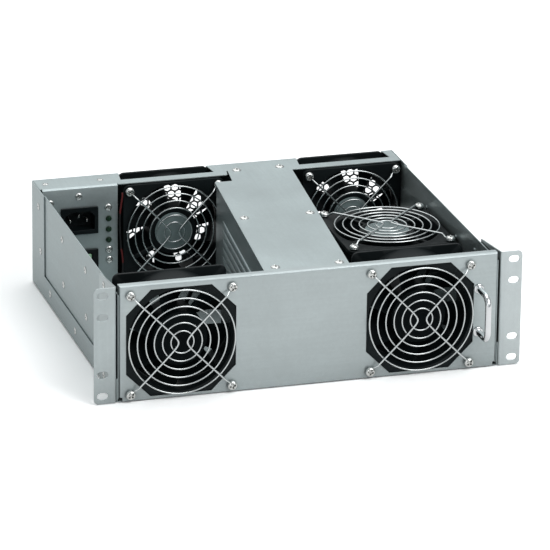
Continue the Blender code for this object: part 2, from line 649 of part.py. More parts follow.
def build_lamps(paint):
    for i, z in enumerate(LAMP_Z):
        front = DECK_FRONT - FIT
        lamp = prism("lamp", circle(LAMP_X, z, LAMP_RADIUS + 0.9, 10), front - 1.0, front, "Y")
        join(lamp, prism("lens", circle(LAMP_X, z, LAMP_RADIUS, 10), front - 2.8, front + 8, "Y"))
        finish(lamp, "lamp_%d" % (i + 1), paint, True)


# The lead of the left rear fan, which runs down beside its frame to the floor
def build_lead(paint):
    x, y = WEB_RIGHT + 2.7, DECK_FRONT - 4.5
    path = [(x + 0.6, y + 3, 112.0), (x + 0.4, y, 104.0), (x - 0.3, y - 1.2, 86.0), (x + 0.5, y - 0.6, 64.0),
            (x - 0.2, y - 1.4, 42.0), (x + 0.4, y - 0.8, 20.0), (x + 0.2, y - 1.6, SHEET + FIT)]
    lead = shells("lead", [sweep(path, 1.05, up=Vector((0, 1, 0)), sides=6)])
    return finish(lead, "fan_lead", paint, True)


# Assembly of the sheet parts
steel = zinc("zinc_pan")
build_pan(steel)
build_deck(zinc("zinc_deck", 1.05))
build_panel(zinc("zinc_panel", 1.08))
build_ear(-1, "rack_ear_left", zinc("zinc_ear_left", 1.02))
build_ear(1, "rack_ear_right", zinc("zinc_ear_right", 1.02))
build_side_plate(-1, "side_plate_left", zinc("zinc_side_left", 0.98))
build_side_plate(1, "side_plate_right", zinc("zinc_side_right", 0.98))
build_duct_wall(-1, "duct_wall_left", zinc("zinc_duct_left", 0.9))
build_duct_wall(1, "duct_wall_right", zinc("zinc_duct_right", 0.9))
build_shelf(zinc("zinc_shelf", 0.95))
build_handle(material("chrome_rod", (0.78, 0.79, 0.80), 1.0, 0.12))
build_inlet(black_plastic("inlet_black"), material("pin_plate", (0.72, 0.72, 0.70), 1.0, 0.25))
build_switch(black_plastic("switch_black"), material("rocker_green", (0.35, 0.72, 0.42), 0.0, 0.35))
build_lamps(material("lamp_green", (0.02, 0.12, 0.03), 0.0, 0.25))
build_lead(material("lead_red", (0.20, 0.02, 0.02), 0.0, 0.5))

# Assembly of the five fans. Turning by +90 about X makes a local +Z face the viewer.
frame_paint = black_plastic("frame_black")
wheel_paint = black_plastic("impeller_black", 0.02)
wire_paint = material("guard_chrome", (0.75, 0.76, 0.77), 1.0, 0.2)
screw_paint = material("screw_nickel", (0.70, 0.70, 0.66), 1.0, 0.3)


def build_fan(label, kind, wheel_turn, guard_turn, centre, outward, seat):
    """wheel_turn sets the motor side, seat is how far the guard's seat stands from the centre."""
    shapes = {"frame": fan_frame(kind), "impeller": fan_impeller(kind), "guard": fan_guard(kind),
              "screw": pan_screw(4.7, seat - kind["depth"] / 2 + FLANGE - 0.6)}
    centre = Vector(centre)
    rest = centre + Vector(outward) * seat
    copy_to(shapes["frame"], "fan_frame_" + label, frame_paint, wheel_turn, centre)
    copy_to(shapes["impeller"], "fan_impeller_" + label, wheel_paint, wheel_turn, centre)
    copy_to(shapes["guard"], "fan_guard_" + label, wire_paint, guard_turn, rest)
    turn = Matrix.Rotation(math.radians(guard_turn[0]), 3, "X")
    reach = kind["pitch"] / 2
    for i, (sx, sy) in enumerate(((-1, 1), (1, 1), (-1, -1), (1, -1))):
        spot = rest + turn @ Vector((sx * reach, sy * reach, 0))
        copy_to(shapes["screw"], "guard_screw_%s_%d" % (label, i + 1), screw_paint, guard_turn, spot)
    for shape in shapes.values():
        bpy.data.objects.remove(shape, do_unlink=True)


FACE_VIEWER, FACE_REAR, FACE_UP = (90, 0, 0), (-90, 0, 0), (0, 0, 0)
front_y = PANEL_SHEET + FIT + FAN_FRONT["depth"] / 2
rear_y = BODY_DEPTH - SHEET - FIT - FAN_REAR["depth"] / 2
for label, x in zip(("front_left", "front_right"), FRONT_X):
    build_fan(label, FAN_FRONT, FACE_REAR, FACE_VIEWER, (x, front_y, FRONT_Z), (0, -1, 0), front_y + FIT)
for label, x in zip(("rear_left", "rear_right"), REAR_X):
    build_fan(label, FAN_REAR, FACE_VIEWER, FACE_VIEWER, (x, rear_y, REAR_Z), (0, -1, 0),
              FAN_REAR["depth"] / 2 + FIT)
build_fan("flat", FAN_FLAT, FACE_UP, FACE_UP, (FLAT_X, FLAT_Y, FLAT_TOP - FAN_FLAT["depth"] / 2), (0, 0, 1),
          FAN_FLAT["depth"] / 2 + FIT)

# The row's origin is the middle of the underside
for made in bpy.data.objects:
    made.location.y -= ORIGIN_Y * MM
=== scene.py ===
# %% [markdown]
# # A rack fan tray, dressed for its portrait
# The tray's solids come in as a fixed frame, already at their true size. What this script adds is what the
# eye looks for next: smooth wire, twisted blades, screw heads with a cross in them, and finishes that have
# the small unevenness of real plated steel and black paint.

# %% Load the frame
import math

import bmesh
import bpy
import numpy as np
from mathutils import Matrix, Vector


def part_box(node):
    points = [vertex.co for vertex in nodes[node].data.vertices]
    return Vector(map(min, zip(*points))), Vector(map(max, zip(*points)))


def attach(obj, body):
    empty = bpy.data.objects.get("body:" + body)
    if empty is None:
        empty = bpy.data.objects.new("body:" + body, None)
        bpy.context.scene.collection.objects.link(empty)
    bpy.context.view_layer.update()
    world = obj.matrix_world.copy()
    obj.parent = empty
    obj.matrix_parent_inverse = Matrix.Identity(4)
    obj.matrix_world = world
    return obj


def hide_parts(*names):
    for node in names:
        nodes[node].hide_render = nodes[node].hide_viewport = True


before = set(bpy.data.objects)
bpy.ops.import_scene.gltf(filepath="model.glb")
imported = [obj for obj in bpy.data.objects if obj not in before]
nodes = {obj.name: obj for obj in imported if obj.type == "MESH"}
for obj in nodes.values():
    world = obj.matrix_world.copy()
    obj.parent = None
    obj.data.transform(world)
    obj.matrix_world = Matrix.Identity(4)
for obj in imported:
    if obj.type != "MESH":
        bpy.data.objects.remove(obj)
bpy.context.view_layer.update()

MM = 0.001

# %% [markdown]
# ## The camera
# The photograph was taken from far off with a long lens, a little to the left and above. Its place was
# worked out from things of known size, the two rack ears and the fan screws. A wrong lens would spoil every
# later comparison, so the camera comes first. Its place is in millimetres from the middle of the underside,
# and it is turned about the upright axis, then tipped down, then levelled.

# %% Camera
FRONT = -177.05          # the front panel's outer face
eye = Vector((-1352.1, FRONT - 4402.5, 1828.5)) * MM
yaw, pitch, roll = math.radians(-16.59), math.radians(20.29), math.radians(0.67)
turn_y = np.array([[math.cos(yaw), 0, math.sin(yaw)], [0, 1, 0], [-math.sin(yaw), 0, math.cos(yaw)]])
turn_x = np.array([[1, 0, 0], [0, math.cos(pitch), -math.sin(pitch)], [0, math.sin(pitch), math.cos(pitch)]])
turn_z = np.array([[math.cos(roll), -math.sin(roll), 0], [math.sin(roll), math.cos(roll), 0], [0, 0, 1]])
axes = turn_z @ turn_x @ turn_y @ np.array([[1, 0, 0], [0, 0, -1], [0, 1, 0]])
camera = bpy.data.objects.new("camera", bpy.data.cameras.new("camera"))
bpy.context.scene.collection.objects.link(camera)
camera.matrix_world = Matrix.LocRotScale(eye, Matrix([axes[0], -axes[1], -axes[2]]).transposed(), None)
camera.data.sensor_width = 36.0
camera.data.lens = 298.3
camera.data.clip_end = 50.0
bpy.context.scene.camera = camera
print("camera at", [round(v, 3) for v in camera.location])

# %% [markdown]
# ## The floor
# A product picture stands on white. The floor could be made white by pouring light on it, but then the tray
# would be overexposed too. Instead the floor is paler to the camera than it is to the light, and a weak glow
# that only mirror images see gives plated metal something pale to show.

# %% Floor
def scene_object(name, data, place=(0, 0, 0)):
    """Puts new data into the scene as an object."""
    made = bpy.data.objects.new(name, data)
    bpy.context.scene.collection.objects.link(made)
    made.location = place
    return made


FLOOR_HALF, FLOOR_DROP = 8.0, 0.0006       # metres: half its width, and how far it lies below the tray
FLOOR_COLOUR, FLOOR_CAMERA = 0.9, 1.65     # as light sees the floor, and as the camera does
FLOOR_MIRRORED = 0.12                      # what the floor adds to its image in metal
floor_mesh = bpy.data.meshes.new("floor")
corners = [(x * FLOOR_HALF, y * FLOOR_HALF, 0) for x, y in ((-1, -1), (1, -1), (1, 1), (-1, 1))]
floor_mesh.from_pydata(corners, [], [(0, 1, 2, 3)])
floor = scene_object("floor", floor_mesh, (0, 0, -FLOOR_DROP))
floor_finish = bpy.data.materials.new("floor_white")
floor_finish.use_nodes = True
tree = floor_finish.node_tree
tree.nodes.clear()
ray = tree.nodes.new("ShaderNodeLightPath")
paper, glow, both = (tree.nodes.new("ShaderNode" + kind) for kind in ("BsdfDiffuse", "Emission", "AddShader"))
pale, mirrored = tree.nodes.new("ShaderNodeMath"), tree.nodes.new("ShaderNodeMath")
pale.operation, mirrored.operation = "MULTIPLY_ADD", "MULTIPLY"
pale.inputs[1].default_value, pale.inputs[2].default_value = FLOOR_CAMERA - FLOOR_COLOUR, FLOOR_COLOUR
mirrored.inputs[1].default_value = FLOOR_MIRRORED
for start, end in ((ray.outputs["Is Camera Ray"], pale.inputs[0]),
                   (ray.outputs["Is Glossy Ray"], mirrored.inputs[0]),
                   (pale.outputs[0], paper.inputs["Color"]), (mirrored.outputs[0], glow.inputs["Strength"]),
                   (paper.outputs[0], both.inputs[0]), (glow.outputs[0], both.inputs[1]),
                   (both.outputs[0], tree.nodes.new("ShaderNodeOutputMaterial").inputs["Surface"])):
    tree.links.new(start, end)
floor_mesh.materials.append(floor_finish)
print("floor laid, colour", FLOOR_COLOUR, "and", FLOOR_CAMERA, "to the camera")

# %% [markdown]
# ## The light
# Plated metal shows what stands round it, so big soft sources give it broad pale reflections, and a shadow
# without an edge. Four area lamps do that work. A dim bluish world fills the rest, twice as strong in mirror
# images as it is on matt surfaces.

# %% World
WORLD_COLOUR, WORLD_LEVEL = (0.92, 0.98, 1.0, 1), 0.22
world = bpy.data.worlds.new("studio")
world.use_nodes = True
bpy.context.scene.world = world
tree = world.node_tree
tree.nodes.clear()
ray, level = tree.nodes.new("ShaderNodeLightPath"), tree.nodes.new("ShaderNodeMath")
around, backdrop = tree.nodes.new("ShaderNodeBackground"), tree.nodes.new("ShaderNodeBackground")
around.inputs["Color"].default_value = WORLD_COLOUR
backdrop.inputs["Strength"].default_value = 1.0
level.operation = "MULTIPLY_ADD"
level.inputs[1].default_value, level.inputs[2].default_value = WORLD_LEVEL, WORLD_LEVEL
seen = tree.nodes.new("ShaderNodeMixShader")
for start, end in ((ray.outputs["Is Glossy Ray"], level.inputs[0]),
                   (level.outputs[0], around.inputs["Strength"]),
                   (ray.outputs["Is Camera Ray"], seen.inputs["Fac"]),
                   (around.outputs[0], seen.inputs[1]), (backdrop.outputs[0], seen.inputs[2]),
                   (seen.outputs[0], tree.nodes.new("ShaderNodeOutputWorld").inputs["Surface"])):
    tree.links.new(start, end)
print("world level", WORLD_LEVEL)


# %% Lamps
def lamp(name, place, aim, size, power):
    """A rectangular area lamp that looks at a point. Places and sizes are metres, its power watts."""
    data = bpy.data.lights.new(name, "AREA")
    data.shape = "RECTANGLE"
    data.size, data.size_y = size
    data.energy = power
    made = scene_object(name, data, place)
    made.rotation_euler = (Vector(aim) - Vector(place)).to_track_quat("-Z", "Y").to_euler()


lamp("key_lamp", (1.3, -2.1, 2.2), (0, 0, 0.05), (2.2, 2.2), 48)
lamp("fill_lamp", (-1.6, -2.6, 1.0), (0, 0, 0.05), (1.6, 1.6), 8)
lamp("rear_lamp", (0.0, 2.6, 1.9), (0, 0.1, 0.05), (2.6, 1.4), 9)
lamp("top_lamp", (0.1, 0.7, 2.5), (0, 0, 0), (2.7, 2.7), 29)
bpy.context.scene.view_settings.view_transform = "Standard"
print("lamps set")

# %% [markdown]
# ## Tools for making surfaces
# Every new piece is a grid of points worked out by a formula and skinned with four-sided faces. Grids that
# close on themselves become rings and tubes. One helper joins several such grids into one mesh.

# %% Surface helpers
def skin(points, wrap_u=False, wrap_v=False, cap_start=False, cap_end=False):
    """A grid of points (rows, columns, 3) as vertices and faces. wrap joins the last row or column to the
    first, and a cap closes the first or the last row, whose columns must wrap."""
    rows, columns = points.shape[:2]
    index = np.arange(rows * columns).reshape(rows, columns)
    if wrap_u:
        index = np.vstack([index, index[:1]])
    if wrap_v:
        index = np.hstack([index, index[:, :1]])
    quads = np.stack([index[:-1, :-1], index[1:, :-1], index[1:, 1:], index[:-1, 1:]], axis=-1).reshape(-1, 4)
    faces = quads.tolist()
    if cap_start:
        faces.append(list(range(columns)))
    if cap_end:
        faces.append(list(range((rows - 1) * columns, rows * columns))[::-1])
    return points.reshape(-1, 3), faces


def build(name, parts, paint, body, smooth):
    """Joins skins, in millimetres from the middle of the underside, into one finished piece on its body.
    Edges that bend by more than the smooth angle, in degrees, stay sharp."""
    verts = np.vstack([np.asarray(p[0]) for p in parts]) * MM
    faces, start = [], 0
    for points, part_faces in parts:
        faces += [[i + start for i in face] for face in part_faces]
        start += len(points)
    mesh = bpy.data.meshes.new(name)
    mesh.from_pydata(verts.tolist(), [], faces)
    work = bmesh.new()
    work.from_mesh(mesh)
    bmesh.ops.recalc_face_normals(work, faces=work.faces)
    work.to_mesh(mesh)
    work.free()
    made = scene_object(name, mesh)
    mesh.materials.append(paint)
    mesh.shade_smooth()
    mesh.set_sharp_from_angle(angle=math.radians(smooth))
    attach(made, body)
    return made


def tube(path, radius, sides=12, closed=False, up=(0, 0, 1)):
    """A round tube: at each point of the path, a circle in the plane across the path's direction."""
    path = np.asarray(path, float)
    if closed:
        along = np.roll(path, -1, 0) - np.roll(path, 1, 0)
    else:
        along = np.gradient(path, axis=0)
    along /= np.linalg.norm(along, axis=1)[:, None]
    side = np.cross(along, np.asarray(up, float))
    side /= np.linalg.norm(side, axis=1)[:, None]
    lift = np.cross(side, along)
    angle = np.linspace(0, 2 * np.pi, sides, endpoint=False)
    ring = np.cos(angle)[None, :, None] * side[:, None] + np.sin(angle)[None, :, None] * lift[:, None]
    points = path[:, None] + radius * ring
    return skin(points, wrap_u=closed, wrap_v=True, cap_start=not closed, cap_end=not closed)


def turned(profile, count):
    """A profile of (radius, height) points turned round the Z axis. Its ends are capped."""
    profile = np.asarray(profile, float)
    angle = np.linspace(0, 2 * np.pi, count, endpoint=False)
    points = np.stack([profile[:, 0:1] * np.cos(angle), profile[:, 0:1] * np.sin(angle),
                       np.repeat(profile[:, 1:2], count, 1)], axis=-1)
    return skin(points, wrap_v=True, cap_start=True, cap_end=True)


def moved(part, facing, place):
    """Turns a part made round the Z axis so that +Z faces the viewer, the rear, up, left or right, and puts
    it in its place."""
    x, y, z = np.asarray(part[0]).T
    where = {"viewer": (x, -z, y), "rear": (x, z, -y), "up": (x, y, z), "left": (-z, -x, y),
             "right": (z, x, y)}[facing]
    return np.stack(where, axis=-1) + np.asarray(place, float), part[1]


print("surface helpers ready")

# %% [markdown]
# ## Tools for making finishes
# A finish is a chain of nodes, and typing each node out would bury its recipe. This class adds one node per
# call. Every pattern reads the piece's own object coordinates, in metres, so it stays on the piece when the
# piece moves, and a noise of scale 10 has blots about a tenth of a metre across.

# %% Material helpers
class Finish:
    """A node material under construction. Its methods add a node and return its output."""

    def __init__(self, name, metallic=0.0, roughness=0.5):
        self.material = bpy.data.materials.new(name)
        self.material.use_nodes = True
        self.tree = self.material.node_tree
        self.shader = self.tree.nodes["Principled BSDF"]
        self.shader.inputs["Metallic"].default_value = metallic
        self.shader.inputs["Roughness"].default_value = roughness
        self.object = self.tree.nodes.new("ShaderNodeTexCoord").outputs["Object"]

    def link(self, a, b):
        """Joins an output to an input."""
        self.tree.links.new(a, b)

    def mapping(self, scale=(1, 1, 1), turn=(0, 0, 0), shift=(0, 0, 0)):
        """The object coordinates, stretched, turned and moved."""
        node = self.tree.nodes.new("ShaderNodeMapping")
        node.inputs["Scale"].default_value = scale
        node.inputs["Rotation"].default_value = turn
        node.inputs["Location"].default_value = shift
        self.link(self.object, node.inputs["Vector"])
        return node.outputs["Vector"]

    def noise(self, scale, detail=3.0, rough=0.55, vector=None, distortion=0.0):
        """Clouds between 0 and 1. Detail adds finer ones, and rough makes those stronger."""
        node = self.tree.nodes.new("ShaderNodeTexNoise")
        node.inputs["Scale"].default_value = scale
        node.inputs["Detail"].default_value = detail
        node.inputs["Roughness"].default_value = rough
        node.inputs["Distortion"].default_value = distortion
        self.link(vector or self.object, node.inputs["Vector"])
        return node.outputs["Fac"]

    def cells(self, scale, vector):
        """A random colour for each cell of a field of crystals."""
        node = self.tree.nodes.new("ShaderNodeTexVoronoi")
        node.inputs["Scale"].default_value = scale
        self.link(vector, node.inputs["Vector"])
        return node.outputs["Color"]

    def ramp(self, value, stops):
        """The colours of a list of (place, colour), as a value goes from 0 to 1."""
        node = self.tree.nodes.new("ShaderNodeValToRGB")
        band = node.color_ramp
        while len(band.elements) < len(stops):
            band.elements.new(0.5)
        for element, (place, colour) in zip(band.elements, stops):
            element.position = place
            element.color = (*colour, 1.0)
        self.link(value, node.inputs["Fac"])
        return node.outputs["Color"]

    def span(self, value, low, high, to_low, to_high):
        """Carries the range from low to high over to another range, and holds what lies past its ends."""
        node = self.tree.nodes.new("ShaderNodeMapRange")
        for name, number in (("From Min", low), ("From Max", high), ("To Min", to_low), ("To Max", to_high)):
            node.inputs[name].default_value = number
        self.link(value, node.inputs["Value"])
        return node.outputs["Result"]

    def add(self, a, b):
        """The sum of two values."""
        node = self.tree.nodes.new("ShaderNodeMath")
        node.operation = "ADD"
        self.link(a, node.inputs[0])
        self.link(b, node.inputs[1])
        return node.outputs[0]

    def mix(self, factor, a, b):
        """From colour a to colour b, as the factor goes from 0 to 1. Either may be a tuple or an output. On
        Blender's node the two colours are the inputs 6 and 7."""
        node = self.tree.nodes.new("ShaderNodeMix")
        node.data_type = "RGBA"
        self.link(factor, node.inputs[0])
        for socket, value in ((node.inputs[6], a), (node.inputs[7], b)):
            if isinstance(value, tuple):
                socket.default_value = (*value, 1.0)
            else:
                self.link(value, socket)
        return node.outputs[2]

    def crevice(self, reach, strength, full=0.8):
        """One in the open, lower by up to the strength in corners and gaps. It is ambient occlusion, and a
        colour mixed by it gets painted shade.
        """
        node = self.tree.nodes.new("ShaderNodeAmbientOcclusion")
        node.samples = 8
        node.inputs["Distance"].default_value = reach
        return self.span(node.outputs["AO"], 0.0, full, 1.0 - strength, 1.0)

    def bump(self, height, strength, distance):
        """Tilts the surface by a height, on top of any bump that is there already."""
        node = self.tree.nodes.new("ShaderNodeBump")
        node.inputs["Strength"].default_value = strength
        node.inputs["Distance"].default_value = distance
        self.link(height, node.inputs["Height"])
        if self.shader.inputs["Normal"].is_linked:
            self.link(self.shader.inputs["Normal"].links[0].from_socket, node.inputs["Normal"])
        self.link(node.outputs["Normal"], self.shader.inputs["Normal"])

    def set(self, name, value):
        """Gives one of the shader's inputs a number or an output."""
        if isinstance(value, (int, float)):
            self.shader.inputs[name].default_value = value
        else:
            self.link(value, self.shader.inputs[name])


def shade(tone, share):
    """A colour with each of its three parts multiplied by a share."""
    return tuple(c * share for c in tone)


print("material helpers ready")

# %% [markdown]
# ## Plated sheet
# Zinc-plated sheet is a metal with a faint cloudiness, a rolling grain and small handling marks. Each sheet
# shifts its patterns by a seed of its own, so the marks don't repeat from piece to piece. The deep bays get
# painted shade, darker than the tray's outside, because little light finds its way out of them. Corners and
# gaps get painted shade as a thin dark line.

# %% Plated sheet
CLOUD, ROLLING, MARKS, SPANGLE, GRIT = 9.0, 60.0, 16.0, 330.0, 420.0      # scales of the patterns
GAP_REACH, GAP_SHADE = 0.004, 0.6           # painted shade: a dark line where two sheets meet, and in other corners and gaps
# painted shade deep in the bays: its reach, its strength, and where it ends
BAY_REACH, BAY_SHADE, BAY_FULL = 0.13, 0.75, 0.66


def zinc(name, tone, grain, seed):
    """Plated sheet: cloudy colour, a grain stretched along the rolling direction, sparse handling marks, and
    the small crystals of the plating as cells of slightly different shade. Shade is painted into its colour
    deep in the bays, and as a dark line in corners and gaps."""
    made = Finish(name, metallic=0.82)
    place = made.mapping(shift=(seed, seed * 0.7, seed * 1.3))
    cloud = made.noise(CLOUD, 4.0, 0.6, place, 0.4)
    fine = made.noise(GRIT, 2.0, 0.5, place)
    rolled = made.noise(ROLLING, 3.0, 0.6, made.mapping(scale=grain, shift=(seed, 0, 0)))
    colour = made.mix(made.span(cloud, 0.3, 0.7, 0.0, 1.0), shade(tone, 0.90), shade(tone, 1.07))
    colour = made.mix(made.span(rolled, 0.35, 0.65, 0.0, 0.22), colour, shade(tone, 0.82))
    marks = made.noise(MARKS, 8.0, 0.75, made.mapping(turn=(0.3, 0.2, 0.9), shift=(3 + seed, 0, 0)), 1.2)
    colour = made.mix(made.span(marks, 0.60, 0.72, 0.0, 0.35), colour, shade(tone, 0.78))
    colour = made.mix(made.span(made.cells(SPANGLE, place), 0.0, 1.0, 0.0, 0.16), colour, shade(tone, 0.72))
    # painted shade: darker deep in the bays
    colour = made.mix(made.crevice(BAY_REACH, BAY_SHADE, BAY_FULL), shade(tone, 0.16), colour)
    # painted shade: a dark line in corners and gaps
    made.set("Base Color", made.mix(made.crevice(GAP_REACH, GAP_SHADE), (0.02, 0.03, 0.03), colour))
    haze, grit = made.span(cloud, 0.3, 0.7, 0.34, 0.44), made.span(fine, 0.3, 0.7, -0.03, 0.03)
    made.set("Roughness", made.add(haze, grit))
    made.bump(rolled, 0.06, 0.0004)
    made.bump(fine, 0.05, 0.0001)
    return made.material


print("plated sheet ready")

# %% [markdown]
# ## Dressing the sheet parts
# The folded sheets already have their true form. Real sheet has a hair of softness on each sheared edge,
# which catches the light as a thin bright line. A merged copy of each solid gets a narrow bevel for that, and
# stands in for the solid. In the rear wall two windows are opened, where finer punching is laid in later.

# %% The planes of the sheets and the windows in the rear wall
SHEET = 1.2              # thickness of the folded parts
TOP = 122.6              # the deck's upper face
REAR = 211.95            # the rear wall's outer face
WEB = 174.95             # the front face of the wall that carries the inlet
SIDE, PLATE, LEG = 216.0, 214.5, 218.1     # half widths over the side strips, the side plates and the ears
HOLE_PITCH, HOLE_ROWS, HOLES = 9.14, 13, 11             # a brick's width, the rows, whole bricks in a row
ROW = HOLE_PITCH * math.sqrt(0.75)
FIELDS = ((-58.0, 60.2), (153.5, 60.2))    # the middles of the two punched fields, across and up
FIELD_WIDE, FIELD_TALL = HOLE_PITCH * (HOLES + 0.5) / 2, ROW * HOLE_ROWS / 2
print("punched fields", round(2 * FIELD_WIDE, 1), "by", round(2 * FIELD_TALL, 1))


# %% Dressing
def on_rear_wall(face):
    """Whether a face lies within the rear wall's sheet."""
    return min(v.co.y for v in face.verts) > (REAR - SHEET - 0.05) * MM


def cut_window(work, x, z):
    """Splits the rear wall along the four sides of a field and takes out what lies inside."""
    for place, normal in (((x - FIELD_WIDE, 0, 0), (1, 0, 0)), ((x + FIELD_WIDE, 0, 0), (1, 0, 0)),
                          ((0, 0, z - FIELD_TALL), (0, 0, 1)), ((0, 0, z + FIELD_TALL), (0, 0, 1))):
        wall = [face for face in work.faces if on_rear_wall(face)]
        near = list(dict.fromkeys(part for face in wall for part in (*face.verts, *face.edges))) + wall
        bmesh.ops.bisect_plane(work, geom=near, dist=1e-7, plane_co=Vector(place) * MM, plane_no=normal)
    inside = [face for face in work.faces if abs(face.calc_center_median().x / MM - x) < FIELD_WIDE
              and abs(face.calc_center_median().z / MM - z) < FIELD_TALL and on_rear_wall(face)]
    bmesh.ops.delete(work, geom=inside, context="FACES")


def dress(node, paint, body="chassis", edge=0.42, sink=None, windows=()):
    """A merged copy of a CAD node with soft edges, in its place. sink moves the corners of heads that are
    made anew into the sheet. Each window is the middle of a field that is taken out of the rear wall."""
    mesh = nodes[node].data.copy()
    mesh.name = "shown_" + node
    if sink:
        corners = np.empty(len(mesh.vertices) * 3)
        mesh.vertices.foreach_get("co", corners)
        mesh.vertices.foreach_set("co", (sink(corners.reshape(-1, 3) / MM) * MM).ravel())
    work = bmesh.new()
    work.from_mesh(mesh)
    for x, z in windows:
        cut_window(work, x, z)
    bmesh.ops.remove_doubles(work, verts=work.verts, dist=2e-6)
    bmesh.ops.dissolve_limit(work, angle_limit=math.radians(0.8), verts=work.verts, edges=work.edges)
    work.to_mesh(mesh)
    work.free()
    made = scene_object("shown_" + node, mesh)
    mesh.materials.clear()
    mesh.materials.append(paint)
    mesh.shade_smooth()
    mesh.set_sharp_from_angle(angle=math.radians(32))
    soft = made.modifiers.new("edges", "BEVEL")
    soft.width = edge * MM
    soft.segments = 2
    soft.limit_method = "ANGLE"
    soft.angle_limit = math.radians(40)
    soft.harden_normals = True
    soft.use_clamp_overlap = True
    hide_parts(node)
    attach(made, body)


print("dressing ready")


# %% Sinking the plain heads
def pull_in(points, axis, limit, where=True):
    """Corners past a limit along an axis go back to it."""
    places = points[:, axis]
    past = (np.abs(places) > abs(limit) + 0.03) & (np.sign(places) == np.sign(limit)) & where
    points[past, axis] = limit
    return points


def sink_deck(points):
    """The deck's heads stand above its top, and the inlet wall's heads in front of that wall."""
    pull_in(points, 2, TOP)
    web = (points[:, 2] < TOP - 3) & (points[:, 0] < -120) & (points[:, 1] < WEB - 0.03)
    points[web, 1] = WEB
    return points


def sink_sides(limit):
    """Heads on both sides, and on the rear wall, stand outside the given half width and the rear face."""
    return lambda points: pull_in(pull_in(pull_in(points, 0, limit), 0, -limit), 1, REAR)


def sink_ear(points, behind_face=20, leg_rear=60, high=130, lowered=124.4):
    """Heads on an ear's leg, which begins behind the ear's face. The leg's top slopes down to the body's."""
    leg = points[:, 1] > FRONT + behind_face
    points[(points[:, 1] > FRONT + leg_rear) & (points[:, 2] > high), 2] = lowered
    return pull_in(pull_in(points, 0, LEG, leg), 0, -LEG, leg)


print("heads go back to", TOP, REAR, WEB, SIDE, PLATE, LEG)

# %% Sheet parts
along_y, along_x, along_z = (6, 0.25, 6), (0.25, 6, 6), (6, 6, 0.25)      # which way each sheet was rolled
INNER_TONE = (0.46, 0.53, 0.535)
sheets = {
    "base_pan": (INNER_TONE, along_y, sink_sides(SIDE)),
    "rear_deck": ((0.52, 0.59, 0.595), along_y, sink_deck),
    "front_panel": ((0.54, 0.60, 0.605), along_x, None),
    "rack_ear_left": ((0.55, 0.61, 0.615), along_z, sink_ear),
    # painted light: the right ear's tone is lighter than the left's, for the lamp on the right
    "rack_ear_right": ((0.67, 0.73, 0.735), along_z, sink_ear),
    "side_plate_left": (INNER_TONE, along_y, sink_sides(PLATE)),
    "side_plate_right": (INNER_TONE, along_y, sink_sides(PLATE)),
    "flat_fan_shelf": (INNER_TONE, along_y, None),
}
for number, (node, (tone, grain, sink)) in enumerate(sheets.items()):
    dress(node, zinc("zinc_" + node, tone, grain, 1.7 * number), sink=sink,
          windows=FIELDS if node == "base_pan" else ())
print(len(sheets), "sheets dressed")

# %% [markdown]
# ## Rear punching
# The frame's rear wall has few and wide holes, to keep it light. Here each punched field is laid again like
# bricks, every other row shifted by half a brick, with a six-sided hole in each brick. Cutting the holes with
# a Boolean would be slower and leave long thin faces.

# %% Rear punching
HOLE_CORNER = 4.25       # from a hole's centre to its corner
FIELD_RADIUS = 50.2      # holes stay within this of the field's middle


def brick(x, z, holed, half=HOLE_PITCH / 2):
    """Twelve points round the brick, matched to twelve round the hole, on the rear and the inner face. The
    hole's points lie at its corner radius and, between corners, at that times the cosine of 30 degrees."""
    w, h, k = half, ROW / 2, 0.4 * half
    outer = np.array([(w, 0), (w, h), (k, h), (0, h), (-k, h), (-w, h), (-w, 0), (-w, -h), (-k, -h), (0, -h),
                      (k, -h), (w, -h)])
    angle = np.radians(np.arange(12) * 30)
    reach = np.where(np.arange(12) % 2 == 1, HOLE_CORNER, HOLE_CORNER * math.cos(math.pi / 6))
    reach = reach * (1 if holed else 0.002)
    inner = np.stack([reach * np.cos(angle), reach * np.sin(angle)], axis=-1)
    rows = [np.insert(loop + (x, z), 1, level, axis=1)
            for loop, level in ((outer, REAR), (inner, REAR), (inner, REAR - SHEET), (outer, REAR - SHEET))]
    return skin(np.stack(rows), wrap_v=True)


bricks = []
for x, z in FIELDS:
    for row in range(HOLE_ROWS):
        shift = HOLE_PITCH / 2 * (row % 2)
        level = z + (row - HOLE_ROWS // 2) * ROW
        end = (FIELD_WIDE - HOLE_PITCH / 4) * (1 if row % 2 == 0 else -1)
        bricks.append(brick(x + end, level, False, HOLE_PITCH / 4))
        for place in range(HOLES):
            across = -FIELD_WIDE + HOLE_PITCH / 2 + shift + place * HOLE_PITCH
            bricks.append(brick(x + across, level, math.hypot(across, level - z) < FIELD_RADIUS))
build("rear_punching", bricks, bpy.data.materials["zinc_base_pan"], "chassis", 30)
print(len(bricks), "bricks laid")

# %% [markdown]
# ## Duct walls and louvres
# The duct's two walls are folded channels with a column of louvres, long slits whose upper edge is pressed
# out as a lip. From above only the lips show, so each wall is made anew as a plain channel with a lip for
# each louvre. A lip's section is a quarter of an ellipse, which dies away at both ends.

# %% Duct walls and louvres
SKEW = math.atan(0.0923)                   # the duct runs a little out of square
DUCT_START = -163.05
DUCT_WALLS = {"left": (-42.908, 314.33, 1), "right": (50.792, 331.4, -1)}      # start, length, outer side
LOUVRES = (36.6, 47.3, 58.0, 68.6, 79.3, 90.0)
run_along = np.array([math.sin(SKEW), math.cos(SKEW), 0])
run_out = np.array([-math.cos(SKEW), math.sin(SKEW), 0])


def duct_wall(start, length, facing, low=1.5, high=121.1, bend=9.0):
    """A channel section of eight corners, carried along the skewed line from its start."""
    section = np.array([(0, low), (0, high), (bend, high), (bend, high - SHEET), (SHEET, high - SHEET),
                        (SHEET, low + SHEET), (bend, low + SHEET), (bend, low)])
    across = -run_out * facing * section[:, :1] + section[:, 1:] * np.array([0, 0, 1.0])
    return skin(np.stack([start + run_along * way + across for way in (0.0, length)]), wrap_v=True,
                cap_start=True, cap_end=True)


